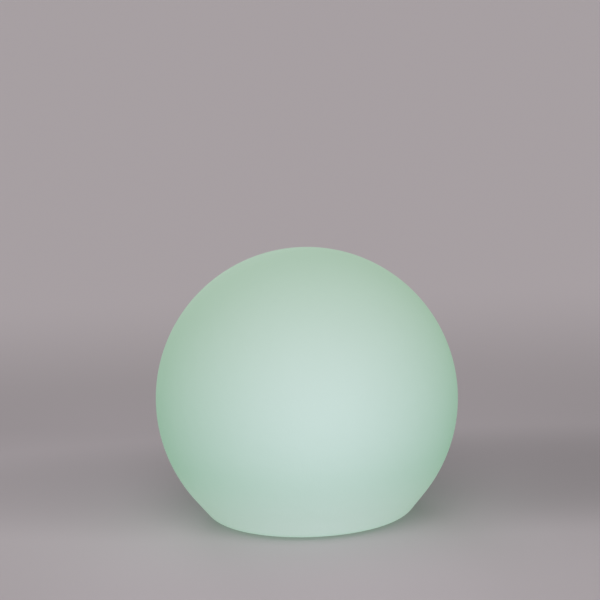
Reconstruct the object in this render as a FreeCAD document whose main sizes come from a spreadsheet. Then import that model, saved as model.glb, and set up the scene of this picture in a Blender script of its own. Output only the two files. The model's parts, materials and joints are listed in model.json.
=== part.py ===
"""Rechargeable garden globe light: a moulded globe that screws down over a sealed light base.

Millimetres and degrees. +Z is up, and z = 0 is the surface that the foot ring stands on. The origin is below
the middle of the globe. +X runs along the grip bar on the underside, towards the charging socket.

The radii run from the inside out: the battery cell sets the bay round it, the bay the collar, the collar the
neck, the neck and its seals the recess, and the recess the flat underside of the globe.
"""

import FreeCAD, Part
import Sketcher
import math
import os

DRIVING_SIZES = [
    # The globe: one hollow moulding, closed at the top, with its mouth turned inward as a neck.
    ("globe_radius", 100, "outside radius of the round part"),
    ("globe_wall", 2.5, "wall of the moulding"),
    ("rim_land", 4.6, "flat underside between the recess and the heel"),
    ("flank_angle", 39, "how far below the equator the straight flank starts, degrees"),
    ("heel_radius", 12, "rounding between the flank and the flat underside"),
    ("recess_depth", 7, "from the flat underside up to the shelf in the recess"),
    ("recess_bevel", 1.2, "bevel of the recess's lower edge"),
    ("neck_wall", 3, "wall of the neck"),
    ("neck_height", 14, "neck above the shelf"),
    # The two seals between the globe and the base.
    ("seal_play", 0.1, "slack on each side of a seal at rest"),
    ("gasket_thickness", 1.5, "flat gasket"),
    ("gasket_width", 3.6, "flat gasket, across its ring"),
    ("gasket_inset", 0.2, "flat gasket's bore outside the neck's bore"),
    ("corner_ring_section", 2.4, "square ring in the recess's corner, its thickness"),
    ("ring_room", 1.2, "between the flat gasket and the square ring"),
    # The base cap: flange, threaded collar, grip bar and two finger pockets.
    ("rim_play", 0.6, "between the cap's rim and the globe's recess"),
    ("rim_bevel", 0.8, "bevel of the cap's lower rim"),
    ("thread_room", 2.2, "between the collar and the neck, where the threads lie"),
    ("collar_wall", 2.5, "wall of the collar"),
    ("collar_height", 16, "collar above the flange"),
    ("grip_margin", 2.3, "from the finger pockets out to the collar's bore"),
    ("grip_depth", 10, "depth of the finger pockets"),
    ("grip_floor", 2.5, "floor over the finger pockets"),
    ("grip_corner", 4, "corner radius of the finger pockets"),
    ("bar_wall", 2, "side walls of the hollow grip bar"),
    ("bar_plate", 2.5, "lower plate of the grip bar"),
    ("slot_spare", 1, "hollow of the grip bar past the control board's ends"),
    ("foot_rim", 2.6, "flange outside the foot ring"),
    ("foot_width", 4.6, "foot ring, across its section"),
    ("foot_seat", 3, "depth of the groove that holds the foot ring"),
    ("foot_stand", 1.2, "how far the foot ring stands below the cap"),
    ("foot_bevel", 0.6, "bevel of the foot ring's lower edges"),
    # The light tower above the cap.
    ("tower_play", 0.3, "between the tower's spigot and the collar"),
    ("tower_wall", 2.2, "wall of the tower and its deck"),
    ("tower_ledge", 2, "ledge that rests on the collar"),
    ("ledge_width", 2.3, "ledge outside the foot of the tower's wall"),
    ("tower_lean", 2.5, "how far the tower's wall leans in up to the deck"),
    ("tower_round", 3, "rounding of the tower's top edge"),
    ("post_inset", 5.3, "from the bay's wall in to a screw post's middle"),
    ("post_radius", 3.5, "screw post"),
    ("led_boss_radius", 2.8, "boss under the deck"),
    ("led_boss_length", 6, "boss under the deck"),
    ("cable_hole_radius", 4.2, "cable hole through the deck"),
    ("cable_inset", 4.3, "from the light board's rim in to the cable hole's middle"),
    # The dome that covers the lamps.
    ("deck_rim", 6, "deck outside the spigot that the dome fits over"),
    ("spigot_wall", 2.6, "wall of the spigot"),
    ("spigot_height", 7, "spigot above the deck"),
    ("groove_height", 4, "seal groove above the deck"),
    ("groove_width", 1.9, "seal groove"),
    ("groove_depth", 1, "seal groove"),
    ("nib_height", 1.5, "snap nib above the deck"),
    ("nib_thickness", 1.5, "snap nib, top to bottom"),
    ("nib_reach", 0.8, "how far a snap nib stands out of the spigot"),
    ("nib_width", 6, "snap nib"),
    ("nib_play", 0.2, "between a snap nib and its window"),
    ("dome_play", 0.3, "between the dome and the spigot"),
    ("dome_wall", 2, "wall of the dome"),
    ("dome_height", 28, "dome above the deck"),
    ("dome_crown", 52, "outside radius of the dome's crown"),
    ("dome_shoulder", 12, "outside radius of the dome's shoulder"),
    ("dome_lift", 0.1, "slack under the dome's rim"),
    ("dome_seal_play", 0.05, "round the ring in the seal groove"),
    # The light board and its lamps.
    ("led_board_play", 0.6, "between the light board and the spigot"),
    ("led_screw_inset", 3.3, "from the light board's rim in to its screws"),
    ("led_board_thickness", 1.6, "light board"),
    ("led_notch_width", 10, "notch for the cable"),
    ("led_notch_depth", 8, "notch for the cable"),
    ("led_size", 5, "side of one lamp"),
    ("led_height", 1.6, "one lamp"),
    ("led_ring_inset", 6, "from the light board's screws in to the eight outer lamps"),
    ("inner_led_circle", 10, "circle of the four inner lamps"),
    ("receiver_width", 6, "remote receiver"),
    ("receiver_depth", 4, "remote receiver"),
    ("receiver_height", 5.5, "remote receiver"),
    ("receiver_eye_radius", 1.9, "lens of the remote receiver"),
    # The control board under the battery.
    ("board_end_gap", 3.3, "from the control board's ends out to the bay's wall"),
    ("board_width", 36, "control board"),
    ("board_thickness", 1.6, "control board"),
    ("board_corner", 8, "corner radius of the control board"),
    ("board_screw_inset", 3, "from the control board's ends in to its screws"),
    ("column_inset", 1.8, "from the slot's sides in to the board screws"),
    ("board_boss_radius", 2.5, "boss under a board screw"),
    ("part_room", 4.2, "room for parts between the board and the cradle"),
    ("chip_length", 10, "control chip"),
    ("chip_width", 4, "control chip"),
    ("chip_height", 1.7, "control chip"),
    ("chip_x", 3, "control chip from the middle"),
    ("coil_size", 6, "power coil, its side"),
    ("coil_height", 3.2, "power coil"),
    ("coil_x", -20, "power coil from the middle"),
    ("driver_size", 3, "one of four lamp drivers, its side"),
    ("driver_height", 1.1, "lamp driver"),
    ("driver_pitch", 5.5, "from driver to driver"),
    ("driver_x", 14, "first lamp driver from the middle"),
    ("capacitor_radius", 3.15, "smoothing capacitor"),
    ("capacitor_height", 5.8, "smoothing capacitor"),
    ("capacitor_edge", 0.35, "from the capacitors out to the board's edge"),
    ("capacitor_x", 20, "first capacitor from the middle"),
    # The switch and its button in the middle of the grip bar.
    ("button_hole_radius", 7, "button hole in the bar's plate"),
    ("button_play", 0.3, "between the button and its hole"),
    ("button_inset", 0.4, "button's face above the cap's underside"),
    ("button_bevel", 0.5, "bevel round the button's face"),
    ("button_overlap", 1.6, "skirt outside the button hole"),
    ("button_skirt", 1, "thickness of the skirt"),
    ("button_lift", 0.1, "slack under the skirt"),
    ("button_stem_radius", 2.4, "stem that presses the switch"),
    ("button_travel", 0.5, "how far the button is pressed"),
    ("retainer_play", 0.3, "between the skirt and the ring that holds the button"),
    ("retainer_wall", 0.9, "side wall of that ring"),
    ("retainer_gap", 0.2, "between that ring and the sides of the bar's hollow"),
    ("retainer_roof", 1.5, "roof of that ring"),
    ("retainer_bore", 4, "bore of its roof"),
    ("retainer_clearance", 0.2, "over the pressed skirt"),
    ("switch_size", 6, "side of the switch"),
    ("switch_height", 3.5, "switch below the board"),
    ("plunger_radius", 1.75, "switch plunger"),
    ("plunger_reach", 1.5, "plunger below the switch"),
    ("plunger_play", 0.1, "between the plunger and its hole"),
    ("plunger_hold", 0.6, "plunger inside the switch"),
    # The charging socket and its cover.
    ("socket_x", 26, "socket from the middle"),
    ("socket_length", 11, "socket along the bar"),
    ("socket_width", 9, "socket across the bar"),
    ("socket_lift", 0.2, "slack under the socket"),
    ("socket_bore", 3.2, "radius of the socket's mouth"),
    ("socket_depth", 8, "depth of the socket's mouth"),
    ("socket_pin_radius", 1.05, "centre pin of the socket"),
    ("socket_pin_setback", 2.2, "pin's end inside the mouth"),
    ("socket_rim", 0.5, "hole in the bar's plate outside the socket's mouth"),
    ("cover_width", 11, "socket cover"),
    ("cover_thickness", 1.3, "socket cover"),
    ("cover_play", 0.15, "round and over the socket cover"),
    ("cover_reach", 10.5, "from the cover's hinge to the socket's middle"),
    ("cover_plug_play", 0.3, "between the plug on the cover and the socket's mouth"),
    ("cover_plug_taper", 0.25, "how much the plug narrows"),
    ("cover_plug_height", 2.7, "plug on the cover"),
    ("cover_nail_notch", 2.2, "fingernail notch past the cover's end"),
    ("root_length", 3.3, "fixed root of the cover"),
    ("root_stem_radius", 1.2, "stem of the root through the plate"),
    ("root_play", 0.05, "round that stem"),
    ("root_head_radius", 1.9, "head of the root inside the plate"),
    ("root_head", 1.1, "height of that head"),
    # The charging lamp and its light pipe.
    ("pipe_x", -22, "light pipe from the middle"),
    ("pipe_radius", 1.5, "light pipe"),
    ("pipe_play", 0.05, "round the light pipe"),
    ("pipe_collar_radius", 2.4, "collar that rests on the plate"),
    ("pipe_collar", 1.5, "height of that collar"),
    ("pipe_gap", 0.2, "between the pipe and the charging lamp"),
    ("lamp_height", 3.6, "charging lamp below the board"),
    ("lamp_radius", 1.5, "charging lamp"),
    # The battery and its cradle.
    ("cell_radius", 9.2, "battery cell"),
    ("cell_length", 65, "battery cell"),
    ("cell_end_room", 6.8, "from the cell's ends out to the bay's wall"),
    ("cell_bevel", 0.6, "bevel of the cell's ends"),
    ("cell_bead_depth", 0.5, "bead rolled into the cell"),
    ("cell_bead_place", 3.2, "bead from the raised end"),
    ("cell_cap_radius", 3.2, "raised contact"),
    ("cell_cap_height", 0.8, "raised contact"),
    ("cell_play", 0.1, "between the cell and its cradle"),
    ("cradle_wall", 1.5, "wall of the cradle's trough"),
    ("cradle_length", 58, "trough"),
    ("cradle_arm_x", 12, "cradle arms from the middle"),
    ("cradle_arm_width", 8, "cradle arm"),
    ("cradle_arm_thickness", 2, "cradle arm"),
    ("cradle_arm_lift", 0.2, "cradle arms above the trough's underside"),
    ("cradle_boss_gap", 0.5, "between the control board and the bosses of the cradle"),
    ("cradle_boss_radius", 3, "boss under a cradle screw"),
    ("pad_length", 40, "foam pad between the cell and the deck"),
    ("pad_width", 9, "foam pad"),
    ("pad_thickness", 1, "foam pad over the cell's crown"),
    ("pad_skirt", 1, "how far the pad's edges reach down the cell"),
    ("pad_play", 0.05, "between the pad and the cell"),
    ("tab_thickness", 0.3, "nickel tab on the cell's end"),
    ("tab_width", 6, "nickel tab"),
    ("tab_height", 13, "nickel tab"),
    # The battery's plug and leads, and the cable up to the light board.
    ("header_x", -20, "battery header from the middle"),
    ("header_edge", 0.9, "from the battery header out to the board's edge"),
    ("header_length", 6, "battery header along X"),
    ("header_width", 4.6, "battery header along Y"),
    ("header_height", 3.4, "battery header"),
    ("plug_height", 3.2, "plug above its header"),
    ("plug_inset", 0.4, "plug inside its header's outline"),
    ("lead_radius", 0.75, "battery lead"),
    ("lead_spread", 1, "each lead from the middle of the plug"),
    ("lead_drop", 9, "from a lead's last bend down to the plug"),
    ("lead_sway", 0.8, "how far a lead wanders on its way"),
    ("lead_turn", 4.5, "how soon a lead turns in from the cell's end"),
    ("lead_landing", 15, "from the plug to the positive lead's last bend but one"),
    ("cable_width", 6, "flat cable"),
    ("cable_thickness", 1.2, "flat cable"),
    ("cable_header_height", 4, "header at each end of the flat cable"),
    ("cable_header_width", 8, "header at each end of the flat cable"),
    ("cable_header_depth", 3.4, "header at each end of the flat cable"),
    ("cable_header_edge", 0.8, "from the lower header out to the board's edge"),
    ("cable_rise", 6, "flat cable's first straight stretch, up from the lower header"),
    ("cable_slant", 8, "height of the stretch that slants out to the deck's hole"),
    # Screws: a pan head and a plain shank.
    ("screw_play", 0.05, "between a shank and its pilot hole"),
    ("hole_play", 0.25, "between a shank and a through hole"),
    ("case_screw_radius", 1.5, "case screw"),
    ("case_screw_head", 2.8, "case screw's head"),
    ("case_screw_head_height", 1.9, "case screw's head"),
    ("case_screw_length", 12, "case screw under its head"),
    ("small_screw_radius", 1, "board and cradle screws"),
    ("small_screw_head", 1.9, "their heads"),
    ("small_screw_head_height", 1.3, "their heads"),
    ("small_screw_length", 6, "under their heads"),
    ("bore_spare", 1, "pilot hole past a screw's tip"),
]

LED_BOSS_COUNT = 3
NIB_COUNT = 3
POST_COUNT = 4
DRIVER_COUNT = 4
OUTER_LED_COUNT = 8
INNER_LED_COUNT = 4

# The angle from +X of the first piece in each ring.
POST_ANGLE = 45
LED_BOSS_ANGLE = 90
OUTER_LED_ANGLE = 22.5
INNER_LED_ANGLE = 45


# Two places closer than this, in mm, are the same place.
SAME_PLACE = 1e-3
# The share of a run that an arc beside it may take up.
ARC_SHARE = 0.45
# How far a swept solid's volume may be off its section times its length, as a share.
VOLUME_SLACK = 0.02


class Size:
    """A size as it stands, together with the sheet expression that gives it."""

    def __init__(self, value, text):
        self.value = float(value)
        self.text = text

    def __add__(self, other):
        other = as_size(other)
        return Size(self.value + other.value, f"({self.text} + {other.text})")

    def __radd__(self, other):
        return as_size(other) + self

    def __sub__(self, other):
        other = as_size(other)
        return Size(self.value - other.value, f"({self.text} - {other.text})")

    def __rsub__(self, other):
        return as_size(other) - self

    def __mul__(self, other):
        other = as_size(other)
        return Size(self.value * other.value, f"({self.text} * {other.text})")

    def __rmul__(self, other):
        return as_size(other) * self

    def __truediv__(self, other):
        other = as_size(other)
        return Size(self.value / other.value, f"({self.text} / {other.text})")

    def __neg__(self):
        return as_size(0) - self


def as_size(number):
    return number if isinstance(number, Size) else Size(number, f"({float(number)!r})")


def root(size):
    return Size(math.sqrt(size.value), f"sqrt({size.text})")


def cosine(angle):
    return Size(math.cos(math.radians(angle.value)), f"cos({angle.text})")


def sine(angle):
    return Size(math.sin(math.radians(angle.value)), f"sin({angle.text})")


class Sheet:
    """The driving sizes: one spreadsheet row each, read back as Size values by name."""

    def __init__(self, document):
        sheet = document.addObject("Spreadsheet::Sheet", "Sizes")
        for row, (name, number, meaning) in enumerate(DRIVING_SIZES, start=1):
            sheet.set(f"A{row}", name)
            sheet.set(f"B{row}", str(number))
            sheet.set(f"C{row}", meaning)
            sheet.setAlias(f"B{row}", name)
        document.recompute()
        for name, _, _ in DRIVING_SIZES:
            setattr(self, name, Size(sheet.get(name), f"Sizes.{name}"))


doc = FreeCAD.newDocument("globe_light")
size = Sheet(doc)
sub_parts = []


# ---------------------------------------------------------------- modelling helpers


def keep(thing, label):
    """Names a finished sub-part, which is then written to its own file."""
    thing.Label = label
    sub_parts.append(thing)
    return thing


def bind(thing, name, amount):
    thing.setExpression(name, as_size(amount).text)


def new_body(label, separate_pieces=False):
    made = doc.addObject("PartDesign::Body", label)
    made.AllowCompound = separate_pieces
    return keep(made, label)


def sketch_on(body, plane, height=None):
    """A sketch on one of the body's own planes, moved along that plane's normal by height."""
    made = body.newObject("Sketcher::SketchObject", body.Name + "_sketch")
    support = next(o for o in body.Origin.OriginFeatures if o.Role == plane)
    made.AttachmentSupport = (support, [""])
    made.MapMode = "FlatFace"
    if height is not None:
        bind(made, "AttachmentOffset.Base.z", height)
    return made


def hold(sketch, geometry, end, direction, place):
    """Holds the x or y of one point of a line or arc, bound to its expression."""
    if not isinstance(place, Size) and place == 0:
        axis = {"x": -2, "y": -1}[direction]
        sketch.addConstraint(Sketcher.Constraint("PointOnObject", geometry, end, axis))
        return
    place = as_size(place)
    kind = "Distance" + direction.upper()
    index = sketch.addConstraint(Sketcher.Constraint(kind, -1, 1, geometry, end, place.value))
    sketch.setExpression(f"Constraints[{index}]", place.text)


def hold_radius(sketch, geometry, radius):
    index = sketch.addConstraint(Sketcher.Constraint("Radius", geometry, as_size(radius).value))
    sketch.setExpression(f"Constraints[{index}]", as_size(radius).text)


def arc_between(first, last, radius, turn):
    """An arc of that radius from first to last. turn is 1 for anticlockwise and -1 for clockwise."""
    chord = last - first
    half = chord.Length / 2
    rise = math.sqrt(max(radius * radius - half * half, 0))
    side = FreeCAD.Vector(-chord.y, chord.x, 0).normalize() * turn
    centre = (first + last) * 0.5 + side * rise
    start, end = (first, last) if turn > 0 else (last, first)
    from_angle, to_angle = (math.atan2(p.y - centre.y, p.x - centre.x) for p in (start, end))
    if to_angle < from_angle:
        to_angle += 2 * math.pi
    return Part.ArcOfCircle(Part.Circle(centre, FreeCAD.Vector(0, 0, 1), radius), from_angle, to_angle)


def outline(sketch, *corners):
    """Draws one closed outline through the corners.

    A corner is (x, y). With (x, y, radius, turn) the edge that arrives there is an arc. With "axis" for the
    radius its centre is on the vertical axis, and with "half" it is a half circle between level points.
    """
    ends = []
    for index, corner in enumerate(corners):
        before = corners[index - 1]
        first = FreeCAD.Vector(as_size(before[0]).value, as_size(before[1]).value, 0)
        last = FreeCAD.Vector(as_size(corner[0]).value, as_size(corner[1]).value, 0)
        if len(corner) == 2:
            ends.append((sketch.addGeometry(Part.LineSegment(first, last), False), 1, 2))
            continue
        radius, turn = corner[2:]
        if radius == "axis":
            drop = (last.x**2 - first.x**2 + last.y**2 - first.y**2) / (2 * (last.y - first.y))
            reach = math.hypot(first.x, first.y - drop)
        elif radius == "half":
            reach = (last - first).Length / 2
        else:
            reach = as_size(radius).value
        made = sketch.addGeometry(arc_between(first, last, reach, turn), False)
        ends.append((made, 1, 2) if turn > 0 else (made, 2, 1))
        if radius == "axis":
            hold(sketch, made, 3, "x", 0)
        elif radius != "half":
            hold_radius(sketch, made, radius)
        elif abs(last.x - first.x) < abs(last.y - first.y):
            hold(sketch, made, 3, "x", corner[0])
        else:
            hold(sketch, made, 3, "y", corner[1])
    for index, (made, _, last_end) in enumerate(ends):
        after, first_end, _ = ends[(index + 1) % len(ends)]
        sketch.addConstraint(Sketcher.Constraint("Coincident", made, last_end, after, first_end))
        hold(sketch, made, last_end, "x", corners[index][0])
        hold(sketch, made, last_end, "y", corners[index][1])


def circle(sketch, x, y, radius):
    """Draws one circle, its middle and radius bound."""
    middle = FreeCAD.Vector(as_size(x).value, as_size(y).value, 0)
    made = sketch.addGeometry(Part.Circle(middle, FreeCAD.Vector(0, 0, 1), as_size(radius).value), False)
    hold(sketch, made, 3, "x", x)
    hold(sketch, made, 3, "y", y)
    hold_radius(sketch, made, radius)


def rectangle(sketch, left, bottom, right, top):
    outline(sketch, (left, bottom), (right, bottom), (right, top), (left, top))


def rounded_rectangle(sketch, half_length, half_width, corner):
    """Draws a rectangle about the origin with rounded corners."""
    inner_x = half_length - corner
    inner_y = half_width - corner
    outline(
        sketch,
        (inner_x, -half_width),
        (half_length, -inner_y, corner, 1),
        (half_length, inner_y),
        (inner_x, half_width, corner, 1),
        (-inner_x, half_width),
        (-half_length, inner_y, corner, 1),
        (-half_length, -inner_y),
        (-inner_x, -half_width, corner, 1),
    )


def feature(body, kind, sketch):
    made = body.newObject("PartDesign::" + kind, body.Name + "_" + kind.lower())
    made.Profile = sketch
    return made


def revolve(body, sketch, axis="V_Axis"):
    """Turns the sketch about its vertical axis, or about one of its own edges."""
    made = feature(body, "Revolution", sketch)
    made.ReferenceAxis = (sketch, [axis])
    made.Angle = 360
    return made


def pad(body, sketch, length, both_ways=False):
    """Raises the sketch along its normal, or half each way."""
    made = feature(body, "Pad", sketch)
    if both_ways:
        made.SideType = "Symmetric"
    bind(made, "Length", length)
    return made


def pocket(body, sketch, depth, up=False):
    """Cuts from the sketch against its normal, or up along it. The cut has to remove material."""
    doc.recompute()
    before = body.Shape.Volume
    made = feature(body, "Pocket", sketch)
    made.Reversed = up
    bind(made, "Length", depth)
    doc.recompute()
    if body.Shape.Volume >= before:
        raise ValueError(f"{made.Name} in {body.Label} removes nothing")
    return made


def repeat(body, originals, count):
    """Repeats features round the body's vertical axis."""
    made = body.newObject("PartDesign::PolarPattern", body.Name + "_pattern")
    made.Originals = originals
    made.Axis = (next(o for o in body.Origin.OriginFeatures if o.Role == "Z_Axis"), [""])
    made.Angle = 360
    made.Occurrences = count
    body.Tip = made
    return made


def round_off(body, radius, chosen):
    """Rounds the edges of the body that chosen picks."""
    doc.recompute()
    base = body.Tip
    names = [f"Edge{n}" for n, edge in enumerate(base.Shape.Edges, start=1) if chosen(edge)]
    if not names:
        raise ValueError(f"no edge of {body.Label} was found to round")
    made = body.newObject("PartDesign::Fillet", body.Name + "_fillet")
    made.Base = (base, names)
    bind(made, "Radius", radius)
    return made


def turned_profile(label, *corners):
    """A body turned from one outline of (radius, height) corners."""
    body = new_body(label)
    sketch = sketch_on(body, "XZ_Plane")
    outline(sketch, *corners)
    revolve(body, sketch)
    return body


def block(name, x, y, z, length, width, height):
    """A box by its middle in x and y and its lowest height."""
    made = doc.addObject("Part::Box", name)
    bind(made, "Length", length)
    bind(made, "Width", width)
    bind(made, "Height", height)
    bind(made, "Placement.Base.x", as_size(x) - as_size(length) / 2)
    bind(made, "Placement.Base.y", as_size(y) - as_size(width) / 2)
    bind(made, "Placement.Base.z", z)
    return made


def rod(name, x, y, z, radius, height):
    """An upright cylinder by the middle of its lower end."""
    made = doc.addObject("Part::Cylinder", name)
    bind(made, "Radius", radius)
    bind(made, "Height", height)
    bind(made, "Placement.Base.x", x)
    bind(made, "Placement.Base.y", y)
    bind(made, "Placement.Base.z", z)
    return made


def cut(name, base, *tools):
    for number, tool in enumerate(tools):
        made = doc.addObject("Part::Cut", f"{name}_{number}")
        made.Base = base
        made.Tool = tool
        base = made
    return base


def fuse(name, *pieces):
    made = doc.addObject("Part::MultiFuse", name)
    made.Shapes = list(pieces)
    made.Refine = True
    return made


def group(label, pieces):
    """Separate, identical solids that share one node."""
    made = doc.addObject("Part::Compound", label)
    made.Links = pieces
    return keep(made, label)


def screws(label, places, seat, radius, head, head_height, length, head_below):
    """Pan-head screws at places. seat is the face that the heads bear on."""
    made = []
    for number, (x, y) in enumerate(places):
        if head_below:
            shank = rod(f"{label}_shank{number}", x, y, seat, radius, length)
            cap = rod(f"{label}_head{number}", x, y, seat - head_height, head, head_height)
        else:
            shank = rod(f"{label}_shank{number}", x, y, seat - length, radius, length)
            cap = rod(f"{label}_head{number}", x, y, seat, head, head_height)
        made.append(fuse(f"{label}_{number}", shank, cap))
    return group(label, made)


def ring_places(circle_radius, count, first_angle):
    """Points on a circle about the vertical axis, each bound to the circle's radius."""
    found = []
    for number in range(count):
        angle = math.radians(first_angle + 360 * number / count)
        found.append((circle_radius * round(math.cos(angle), 9), circle_radius * round(math.sin(angle), 9)))
    return found


# ---------------------------------------------------------------- heights and radii shared by the pieces

flat = size.foot_stand
shelf = flat + size.recess_depth
flange_top = shelf - size.gasket_thickness - 2 * size.seal_play
collar_top = flange_top + size.collar_height
floor_under = flat + size.grip_depth
floor_top = floor_under + size.grip_floor
plate_top = flat + size.bar_plate
board_top = floor_top + size.board_thickness
cradle_under = board_top + size.part_room
cradle_arm_under = cradle_under + size.cradle_arm_lift
cell_middle = cradle_under + size.cradle_wall + size.cell_play + size.cell_radius
deck_under = cell_middle + size.cell_radius + size.pad_thickness
deck = deck_under + size.tower_wall
led_board_top = deck + size.led_board_thickness

bay_radius = size.cell_length / 2 + size.cell_end_room
tower_foot_bore = bay_radius + size.tower_wall
collar_bore = tower_foot_bore + size.tower_play
collar_radius = collar_bore + size.collar_wall
neck_bore = collar_radius + size.thread_room
gasket_bore = neck_bore + size.gasket_inset
ring_bore = gasket_bore + size.gasket_width + size.ring_room
ring_radius = ring_bore + size.corner_ring_section
recess_radius = ring_radius + size.seal_play
ring_top = shelf - size.seal_play
cap_radius = recess_radius - size.rim_play
step_radius = ring_bore - size.seal_play
step_top = ring_top - size.corner_ring_section - size.seal_play
foot_outer = cap_radius - size.foot_rim
foot_inner = foot_outer - size.foot_width
tower_foot_radius = collar_radius - size.ledge_width
tower_top_radius = tower_foot_radius - size.tower_lean
spigot_radius = tower_top_radius - size.deck_rim
led_board_radius = spigot_radius - size.spigot_wall - size.led_board_play
led_screw_circle = led_board_radius - size.led_screw_inset
post_places = ring_places(bay_radius - size.post_inset, POST_COUNT, POST_ANGLE)
led_boss_places = ring_places(led_screw_circle, LED_BOSS_COUNT, LED_BOSS_ANGLE)

skirt_radius = size.button_hole_radius + size.button_overlap
retainer_inner = skirt_radius + size.retainer_play
retainer_radius = retainer_inner + size.retainer_wall
slot_half = retainer_radius + size.retainer_gap
bar_half = slot_half + size.bar_wall
board_half_length = bay_radius - size.board_end_gap
board_half_width = size.board_width / 2
board_screw_x = board_half_length - size.board_screw_inset
board_screw_y = slot_half - size.column_inset
board_screw_places = [(board_screw_x, board_screw_y), (-board_screw_x, -board_screw_y)]
cradle_screw_y = board_half_width + size.cradle_boss_gap + size.cradle_boss_radius
cradle_places = [
    (x, y) for x in (size.cradle_arm_x, -size.cradle_arm_x) for y in (cradle_screw_y, -cradle_screw_y)
]


# ---------------------------------------------------------------- the globe and its seals


def make_globe():
    """One shell of even wall: ball, flank, rounded heel, flat rim, recess and inward neck."""
    wall = size.globe_wall
    turn_in = neck_bore + size.neck_wall
    below, beside = sine(size.flank_angle), cosine(size.flank_angle)
    heel_middle = recess_radius + size.recess_bevel + size.rim_land
    heel_up = flat + size.heel_radius
    # The flank touches the ball and the heel, which sets how high the ball's centre stands over the heel's.
    ball_over_heel = (size.globe_radius - size.heel_radius - heel_middle * beside) / below
    globe_middle = heel_up + ball_over_heel

    def on_ball(radius):
        return radius * beside, globe_middle - radius * below

    def on_heel(radius):
        return heel_middle + radius * beside, heel_up - radius * below

    inner_ball = size.globe_radius - wall
    inner_heel = size.heel_radius - wall
    turned_profile(
        "globe_shell",
        (0, globe_middle + inner_ball, "axis", 1),
        (0, globe_middle + size.globe_radius),
        (*on_ball(size.globe_radius), "axis", -1),
        on_heel(size.heel_radius),
        (heel_middle, flat, size.heel_radius, -1),
        (recess_radius + size.recess_bevel, flat),
        (recess_radius, flat + size.recess_bevel),
        (recess_radius, shelf),
        (neck_bore, shelf),
        (neck_bore, shelf + size.neck_height),
        (turn_in, shelf + size.neck_height),
        (turn_in, shelf + wall),
        (recess_radius + wall, shelf + wall),
        (recess_radius + wall, flat + wall),
        (heel_middle, flat + wall),
        (*on_heel(inner_heel), inner_heel, 1),
        on_ball(inner_ball),
    )


def square_ring(label, inner, outer, low, high):
    return turned_profile(label, (inner, low), (outer, low), (outer, high), (inner, high))


def make_seals():
    """A flat gasket on the flange, and a square ring in the corner of the recess."""
    low = flange_top + size.seal_play
    square_ring("flat_gasket", gasket_bore, gasket_bore + size.gasket_width, low, low + size.gasket_thickness)
    square_ring("corner_ring_seal", ring_bore, ring_radius, ring_top - size.corner_ring_section, ring_top)


# ---------------------------------------------------------------- the base cap and what it carries


def make_base_cap():
    """Flange and collar in one moulding, hollow above, with two finger pockets and a grip bar below."""
    body = turned_profile(
        "base_cap",
        (0, flat),
        (foot_inner, flat),
        (foot_inner, flat + size.foot_seat),
        (foot_outer, flat + size.foot_seat),
        (foot_outer, flat),
        (cap_radius - size.rim_bevel, flat),
        (cap_radius, flat + size.rim_bevel),
        (cap_radius, step_top),
        (step_radius, step_top),
        (step_radius, flange_top),
        (collar_radius, flange_top),
        (collar_radius, collar_top),
        (collar_bore, collar_top),
        (collar_bore, floor_top),
        (0, floor_top),
    )
    cut_finger_pockets(body)
    cut_bar_hollow(body)
    cut_button_hole(body)
    cut_socket_opening(body)
    cut_pipe_hole(body)
    raise_cap_bosses(body)
    bore_cap_holes(body)


def cut_finger_pockets(body):
    """Two pockets shaped like a D, one each side of the grip bar, for turning the base out."""
    grip_radius = collar_bore - size.grip_margin
    reach = root(grip_radius * grip_radius - bar_half * bar_half)
    sketch = sketch_on(body, "XY_Plane", flat)
    outline(sketch, (-reach, bar_half, grip_radius, 1), (reach, bar_half))
    pocket(body, sketch, size.grip_depth, up=True)
    repeat(body, [body.Tip], 2)

    def in_corner(edge):
        box = edge.BoundBox
        return box.XLength < SAME_PLACE and abs(abs(box.XMin) - reach.value) < SAME_PLACE

    round_off(body, size.grip_corner, in_corner)


def cut_bar_hollow(body):
    """The hollow of the grip bar, open above, where the switch and the socket hang."""
    sketch = sketch_on(body, "XY_Plane", floor_top)
    half_length = board_half_length + size.slot_spare
    rectangle(sketch, -half_length, -slot_half, half_length, slot_half)
    pocket(body, sketch, floor_top - plate_top)


def cut_button_hole(body):
    sketch = sketch_on(body, "XY_Plane", flat)
    circle(sketch, 0, 0, size.button_hole_radius)
    pocket(body, sketch, size.bar_plate, up=True)


def cover_half_width():
    return size.cover_width / 2 + size.cover_play


def cover_hinge_x():
    return size.socket_x - size.cover_reach


def cut_socket_opening(body):
    """The shallow seat of the socket cover, the hole under the socket and the hole for the cover's root."""
    half = cover_half_width()
    left = cover_hinge_x() - size.cover_thickness / 2 - size.root_length - size.cover_play
    right = size.socket_x + size.cover_nail_notch
    seat = sketch_on(body, "XY_Plane", flat)
    outline(seat, (left, -half), (right, -half), (right, half, "half", 1), (left, half))
    pocket(body, seat, size.cover_thickness + 2 * size.cover_play, up=True)
    holes = sketch_on(body, "XY_Plane", flat)
    circle(holes, size.socket_x, 0, size.socket_bore + size.socket_rim)
    circle(holes, root_stem_x(), 0, size.root_stem_radius + size.root_play)
    pocket(body, holes, size.bar_plate, up=True)


def root_stem_x():
    return cover_hinge_x() - size.cover_thickness / 2 - size.cover_play - size.root_length / 2


def cut_pipe_hole(body):
    sketch = sketch_on(body, "XY_Plane", flat)
    circle(sketch, size.pipe_x, 0, size.pipe_radius + size.pipe_play)
    pocket(body, sketch, size.bar_plate, up=True)


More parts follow.
